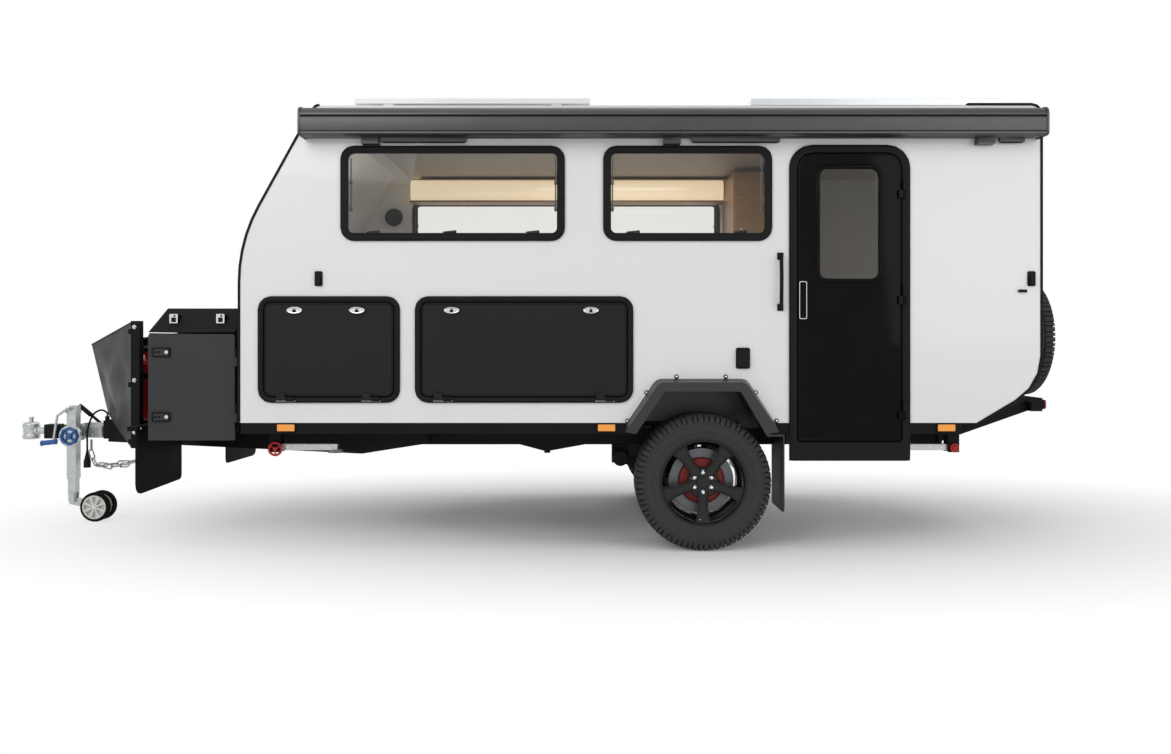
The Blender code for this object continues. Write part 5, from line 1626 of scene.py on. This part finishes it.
def jockey():
    """Blue clamp wheel and crank grip, column bolts, and the twin wheels with spoked hubs."""
    x, y = JOCKEY
    face = y - 0.050
    bm = bmesh.new()
    ring = []
    for i in range(14):
        angle = math.tau * i / 14
        ring.append((0.050 + 0.0085 * math.cos(angle), 0.0085 + 0.0085 * math.sin(angle)))
    rings = []
    for step in range(48):
        angle = math.tau * step / 48
        lobe = 1 + 0.05 * math.cos(8 * angle)
        rings.append(
            [
                (x + r * lobe * math.cos(angle), face - out, CLAMP_Z + r * lobe * math.sin(angle))
                for r, out in ring
            ]
        )
    skin(bm, rings, closed=True)
    for i in range(4):
        angle = math.tau * (i + 0.5) / 4
        reach = Vector((math.cos(angle), 0, math.sin(angle)))
        pipe(
            bm,
            [
                Vector((x, face - 0.008, CLAMP_Z)) + reach * 0.010,
                Vector((x, face - 0.008, CLAMP_Z)) + reach * 0.047,
            ],
            0.006,
            10,
        )
    disc(bm, (x, face, CLAMP_Z), (0, -1, 0), 0.019, -0.001, 0.018, 28, 0.003)
    finished("jockey_clamp_wheel", bm, BLUE, "van", smooth=50)
    bm = bmesh.new()
    grip = eased(
        [
            (x - 0.083, y - 0.062, 0.531), (x - 0.105, y - 0.062, 0.528),
            (x - 0.150, y - 0.062, 0.523), (x - 0.1755, y - 0.062, 0.520),
        ],
        4,
    )
    pipe(bm, grip, 0.0164, 20)
    for spot in (grip[0], grip[-1]):
        pipe(bm, [spot - Vector((0.0030, 0, 0)), spot + Vector((0.0030, 0, 0))], 0.0190, 20)
    finished("jockey_crank_grip", bm, BLUE, "van", bevel=0.001, smooth=50)
    bolts(
        "jockey_column_bolts",
        [
            ((x, y - 0.0302, z), FACE_NEAR) for z in (0.33, 0.66)
        ] + [((x - 0.031, y, z), FACE_FRONT) for z in (0.33, 0.66)],
        "van",
        0.8,
    )
    rubber, hubs = bmesh.new(), bmesh.new()
    for way in (-1, 1):
        axis = (0, way, 0)
        tyre = [
            (0.0760, 0.026), (0.0800, 0.0215), (0.0900, 0.0225), (0.0950, 0.0280), (0.0972, 0.0360)
        ]
        tyre += [
            (0.0972, 0.0480), (0.0950, 0.0560), (0.0900, 0.0605), (0.0800, 0.0620), (0.0760, 0.0580)
        ]
        turn = Vector(axis).to_track_quat("Z", "Y").to_matrix()
        spun(rubber, tyre, 64, turn, JOCKEY_HUB)
        rim = [
            (0.0680, 0.030), (0.0768, 0.027), (0.0785, 0.0600), (0.0760, 0.0637), (0.0690, 0.0637),
            (0.0670, 0.0600),
        ]
        spun(hubs, rim, 64, turn, JOCKEY_HUB)
        lathe(
            hubs,
            [(0.0108, 0.020), (0.020, 0.020), (0.020, 0.0625), (0.017, 0.0655), (0.0108, 0.0655)],
            JOCKEY_HUB,
            axis,
            28,
        )
        lathe(
            hubs, [(0.0, 0.036), (0.070, 0.036), (0.070, 0.039), (0.0, 0.039)], JOCKEY_HUB, axis, 40
        )
        for i in range(8):
            angle = math.tau * (i + 0.5) / 8
            reach = turn @ Vector((math.cos(angle), math.sin(angle), 0))
            rise = turn @ Vector((0, 0, 0.0525))
            wide = turn @ Vector((-math.sin(angle), math.cos(angle), 0))
            lift = turn @ Vector((0, 0, 1))
            rings = []
            for r, half in ((0.016, 0.0075), (0.040, 0.0065), (0.071, 0.0110)):
                centre = Vector(JOCKEY_HUB) + rise + reach * r
                rings.append(
                    [
                        centre - wide * half - lift * 0.014,
                        centre - wide * half + lift * 0.0065,
                        centre - wide * (half - 0.002) + lift * 0.0085,
                        centre + wide * (half - 0.002) + lift * 0.0085,
                        centre + wide * half + lift * 0.0065,
                        centre + wide * half - lift * 0.014,
                    ]
                )
            skin(hubs, rings)
    tyres = finished("jockey_tyres", rubber, FLAP, "jockey_wheels", smooth=40)
    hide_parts("jockey_wheels")
    finished("jockey_hubs", hubs, NYLON, "jockey_wheels", smooth=40)
    bm = bmesh.new()
    disc(bm, JOCKEY_HUB, (0, 1, 0), 0.0098, -0.066, 0.066, 20, 0.001)
    finished("jockey_axle", bm, STAINLESS, "jockey_wheels")


jockey()


def front_box():
    """Pull latches with key caps on the box's doors, and pressed latches on its lid."""
    for side, sign in SIDES:
        frames, caps = bmesh.new(), bmesh.new()
        for z in (0.76, 1.13):
            y = sorted((sign * 1.0075, sign * 1.0120))
            band(
                frames,
                round_rect(-2.087, -1.983, z - 0.027, z + 0.027, 0.006),
                round_rect(-2.080, -1.990, z - 0.020, z + 0.020, 0.004),
                "Y",
                *y,
            )
            for x in (-2.066, -2.046):
                inner = sorted((sign * 1.0078, sign * 1.0105))
                prism(
                    frames,
                    round_rect(x - 0.0065, x + 0.0065, z - 0.006, z + 0.006, 0.002),
                    "Y",
                    *inner,
                )
            disc(caps, (-2.003, sign * 1.0078, z), (0, sign, 0), 0.0105, 0.0, 0.0052, 24, 0.0012)
        finished(
            f"box_latch_frames_{side}",
            frames,
            POWDER,
            f"box_door_{side}",
            bevel=0.0008,
        )
        finished(f"box_latch_keys_{side}", caps, STAINLESS, f"box_door_{side}")
    plates, levers = bmesh.new(), bmesh.new()
    for sign in (-1, 1):
        for x in (-1.985, -1.715):
            y = sorted((sign * 0.9552, sign * 0.9580))
            prism(plates, round_rect(x - 0.024, x + 0.024, 1.296, 1.350, 0.004), "Y", *y)
            y = sorted((sign * 0.9576, sign * 0.9625))
            prism(levers, round_rect(x - 0.011, x + 0.013, 1.303, 1.330, 0.003), "Y", *y)
            disc(
                levers,
                (x + 0.006, sign * 0.9576, 1.339), (0, sign, 0),
                0.006,
                0.0,
                0.003,
                18,
                0.0006,
            )
    finished("lid_latch_plates", plates, STAINLESS, "box_lid", bevel=0.0008)
    finished("lid_latch_levers", levers, ABS, "box_lid", bevel=0.0008)


front_box()


def guard_fittings():
    """Bolts and sheet clips on the guard's posts, and bolts through the flap clamp."""
    spots = []
    for sign, turn in FACES.items():
        spots += [((-2.275, sign * 0.8252, z), turn) for z in (0.655, 0.962, 1.277)]
    bolts("guard_post_bolts", spots, "van", 1.2)
    bm = bmesh.new()
    for sign in (-1, 1):
        y = sorted((sign * 0.818, sign * 0.8268))
        for z in (0.600, 0.935, 1.250):
            prism(bm, round_rect(-2.3120, -2.288, z - 0.014, z + 0.014, 0.003), "Y", *y)
    finished("guard_sheet_clips", bm, POWDER, "van", bevel=0.001)
    turn = (0, math.pi / 2, 0)
    spots = [
        ((-2.1878, sign * y, 0.6880), turn) for sign in (-1, 1) for y in (0.42, 0.60, 0.78, 0.93)
    ]
    bolts("flap_clamp_bolts", spots, "van", 0.8)


guard_fittings()


def can():
    """Pressed ribs, strap and screw cap of the steel fuel can."""
    bm = bmesh.new()
    for x in (-2.5050, -2.3400):
        x0, x1 = (x - 0.0030, x + 0.002) if x < -2.42 else (x - 0.002, x + 0.0030)
        band(
            bm,
            round_rect(-0.325, -0.045, 0.715, 1.030, 0.03),
            round_rect(-0.313, -0.057, 0.727, 1.018, 0.022),
            "X",
            x0,
            x1,
        )
        for a, b in (((-0.30, 0.74), (-0.07, 1.00)), ((-0.30, 1.00), (-0.07, 0.74))):
            along = (Vector(b) - Vector(a)).normalized()
            across = Vector((-along.y, along.x)) * 0.008
            corners = [
                Vector(a) - across, Vector(b) - across, Vector(b) + across, Vector(a) + across
            ]
            prism(bm, [tuple(c) for c in corners], "X", x0, x1)
    finished("can_pressed_ribs", bm, RED_ENAMEL, "van", bevel=0.0015)
    bm = bmesh.new()
    band(
        bm,
        round_rect(-2.5075, -2.3375, -0.3580, -0.0125, 0.006),
        round_rect(-2.5046, -2.3404, -0.3548, -0.0152, 0.004),
        "Z",
        0.955,
        0.985,
    )
    tilt = Vector((0, -0.035, 0.115)).normalized()
    centre = Vector((-2.4225, -0.325, 1.1508))
    lathe(
        bm,
        [
            (0.0, 0.0), (0.0345, 0.0), (0.0360, 0.003), (0.0360, 0.018), (0.0330, 0.021),
            (0.0, 0.021),
        ],
        centre - tilt * 0.014,
        tilt,
        32,
    )
    finished("can_strap_and_cap", bm, FLAP, "van", bevel=0.0008)


can()


# How far out the steadies' locking rings sit
STEADY_Y = 0.9105


def steadies():
    """Red locking rings and bolts at the steadies' pivots."""
    for place, x in (("front", -1.42), ("rear", 2.54)):
        for side, sign in SIDES:
            bm = bmesh.new()
            radius, centre = (
                0.036, (x + 0.006, sign * STEADY_Y, 0.566)
            ) if place == "front" else (0.020, (x, sign * STEADY_Y, 0.572))
            rings = []
            for step in range(40):
                angle = math.tau * step / 40
                ring = []
                for k in range(10):
                    turn = math.tau * k / 10
                    r = radius + 0.0070 * math.cos(turn)
                    ring.append(
                        (
                            centre[0] + r * math.cos(angle),
                            centre[1] + 0.0070 * math.sin(turn),
                            centre[2] + r * math.sin(angle),
                        )
                    )
                rings.append(ring)
            skin(bm, rings, closed=True)
            for i in range(3):
                angle = math.tau * (i + 0.25) / 3
                tip = Vector(centre) + Vector((math.cos(angle), 0, math.sin(angle))) * radius
                pipe(bm, [Vector(centre), tip], 0.0045, 8)
            disc(bm, centre, (0, sign, 0), 0.012, -0.006, 0.008, 24, 0.002)
            body = f"steady_{place}_{side}"
            finished(f"{body}_knob", bm, RED_ENAMEL, "van", smooth=50)
            way = 1 if place == "front" else -1
            spots = [
                ((x + way * reach, sign * 0.8802, 0.5725), FACES[sign]) for reach in (0.07, 0.31)
            ]
            bolts(f"{body}_rivets", spots, body, 0.7)


steadies()


def roof():
    """Framed cells on the solar panel, its feet, and the roof hatch's dome."""
    bm = bmesh.new()
    band(
        bm,
        [(1.373, -0.80), (2.841, -0.80), (2.841, 0.0), (1.373, 0.0)],
        [(1.398, -0.775), (2.816, -0.775), (2.816, -0.025), (1.398, -0.025)],
        "Z",
        2.594,
        2.634,
    )
    for x in (1.573, 2.641):
        for y in (-0.77, -0.03):
            block(bm, (x - 0.03, y - 0.02, 2.5303), (x + 0.03, y + 0.02, 2.536))
            block(bm, (x - 0.03, y - 0.003, 2.5303), (x + 0.03, y + 0.003, 2.598))
    frame_piece = finished("solar_frame", bm, MILL, "van", bevel=0.0012)
    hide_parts("solar_panel")
    bm = bmesh.new()
    block(bm, (1.3975, -0.7755, 2.600), (2.8165, -0.0245, 2.6315))
    finished("solar_cells", bm, CELLS, "van")
    bm = bmesh.new()
    outer = round_rect(0.545, 1.055, -0.025, 0.485, 0.05)
    inner = round_rect(0.585, 1.015, 0.015, 0.445, 0.04)
    skin(
        bm,
        [
            [(a, b, 2.575) for a, b in outer],
            [(a, b, 2.597) for a, b in outer],
            [(a, b, 2.609) for a, b in inner],
        ],
    )
    finished("roof_hatch_dome", bm, NYLON, "van", bevel=0.004)


roof()

# Rolled and pressed pieces whose bends show as one smooth face
BENT = {
    "front_wall": (GELCOAT, "body_white"),
    "rear_wall": (GELCOAT, "body_white"),
    "nose_trim": (ABS, "black_trim"),
    "tail_trim": (ABS, "black_trim"),
    "awning_case": (ANODISED, "anthracite"),
    "suspension": (POWDER, "painted_steel"),
}


def bent_skins():
    """Copies of the bent pieces, their triangles joined so that the light runs round the bends."""
    for name, (material, slot) in BENT.items():
        bm = bmesh.new()
        bm.from_mesh(NODES[name].data)
        bm.transform(NODES[name].matrix_world)
        bmesh.ops.remove_doubles(bm, verts=bm.verts, dist=1e-5)
        bmesh.ops.dissolve_limit(bm, angle_limit=0.001, verts=bm.verts, edges=bm.edges)
        skin_piece = finished(f"{name}_skin", bm, material, "van", smooth=32)
        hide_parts(name)


bent_skins()


def seen_directly(tree):
    """1 where the camera, a reflection or a pane sees the backdrop, 0 where it lights the part."""
    path = add(tree, "ShaderNodeLightPath")
    glass = add(
        tree,
        "ShaderNodeMath",
        {0: path.outputs["Is Camera Ray"], 1: path.outputs["Is Transmission Ray"]},
        operation="MAXIMUM",
    )
    both = {0: glass.outputs[0], 1: path.outputs["Is Glossy Ray"]}
    return add(tree, "ShaderNodeMath", both, operation="MAXIMUM").outputs[0]


# Strength of the even light from all round
AMBIENT = 0.42


def plain_stage():
    """Pale floor and soft studio lamps."""
    made, tree, shader, coords = new_material("matt_white_studio_floor")
    shader.inputs["Base Color"].default_value = hex_linear("#F4F4F4")
    shader.inputs["Roughness"].default_value = 0.9
    middle = add(
        tree,
        "ShaderNodeMapping",
        {"Vector": coords, "Location": (-0.25, 0, 0), "Scale": (0.25, 0.5, 1.0)},
    )
    span = add(tree, "ShaderNodeVectorMath", {0: middle.outputs[0]}, operation="LENGTH")
    away = add(
        tree,
        "ShaderNodeMapRange",
        {"Value": span.outputs["Value"], "From Min": 0.4, "From Max": 1.2},
    )
    glow = add(tree, "ShaderNodeEmission", {"Color": (1, 1, 1, 1), "Strength": 1.0})
    seen = seen_directly(tree)
    share = add(tree, "ShaderNodeMath", {0: away.outputs[0], 1: seen}, operation="MULTIPLY")
    blend = add(
        tree, "ShaderNodeMixShader", {0: share.outputs[0], 1: shader.outputs[0], 2: glow.outputs[0]}
    )
    output = next(n for n in tree.nodes if n.type == "OUTPUT_MATERIAL")
    tree.links.new(blend.outputs[0], output.inputs["Surface"])
    bpy.ops.mesh.primitive_plane_add(size=120, location=(0, 0, -0.0005))
    floor = bpy.context.object
    floor.name = "studio_floor"
    floor.data.materials.append(made)
    world = bpy.data.worlds.new("studio")
    bpy.context.scene.world = world
    world.use_nodes = True
    tree = world.node_tree
    tree.nodes.clear()
    seen = seen_directly(tree)
    light = add(tree, "ShaderNodeBackground", {"Color": (1, 1, 1, 1), "Strength": AMBIENT})
    white = add(tree, "ShaderNodeBackground", {"Color": (1, 1, 1, 1), "Strength": 1.0})
    mix = add(tree, "ShaderNodeMixShader", {0: seen, 1: light.outputs[0], 2: white.outputs[0]})
    add(tree, "ShaderNodeOutputWorld", {"Surface": mix.outputs[0]})
    lamps = (
        ("key_lamp", (-4.5, -9.0, 6.5), (0.8, 0, 1.1), 6.0, 345),
        ("fill_lamp", (7.0, -8.0, 4.0), (0.8, 0, 1.0), 6.0, 165),
        ("top_lamp", (0.5, 0.0, 8.5), (0.5, 0, 0), 7.0, 140),
        ("back_lamp", (2.0, 9.0, 5.0), (0.5, 0, 1.2), 6.0, 170),
    )
    for name, place, aim, size, watts in lamps:
        data = bpy.data.lights.new(name, "AREA")
        data.energy = watts
        data.size = size
        lamp = bpy.data.objects.new(name, data)
        bpy.context.scene.collection.objects.link(lamp)
        lamp.location = place
        lamp.visible_transmission = False
        lamp.rotation_euler = (Vector(aim) - Vector(place)).to_track_quat("-Z", "Y").to_euler()
    cabin_light = bpy.data.lights.new("cabin_light", "AREA")
    cabin_light.energy = 9
    cabin_light.size = 1.2
    lamp = bpy.data.objects.new("cabin_light", cabin_light)
    bpy.context.scene.collection.objects.link(lamp)
    lamp.location = (0.6, -0.1, 2.44)
    lamp.visible_camera = False
    lamp.visible_transmission = False


plain_stage()
bpy.context.scene.view_settings.view_transform = "Standard"
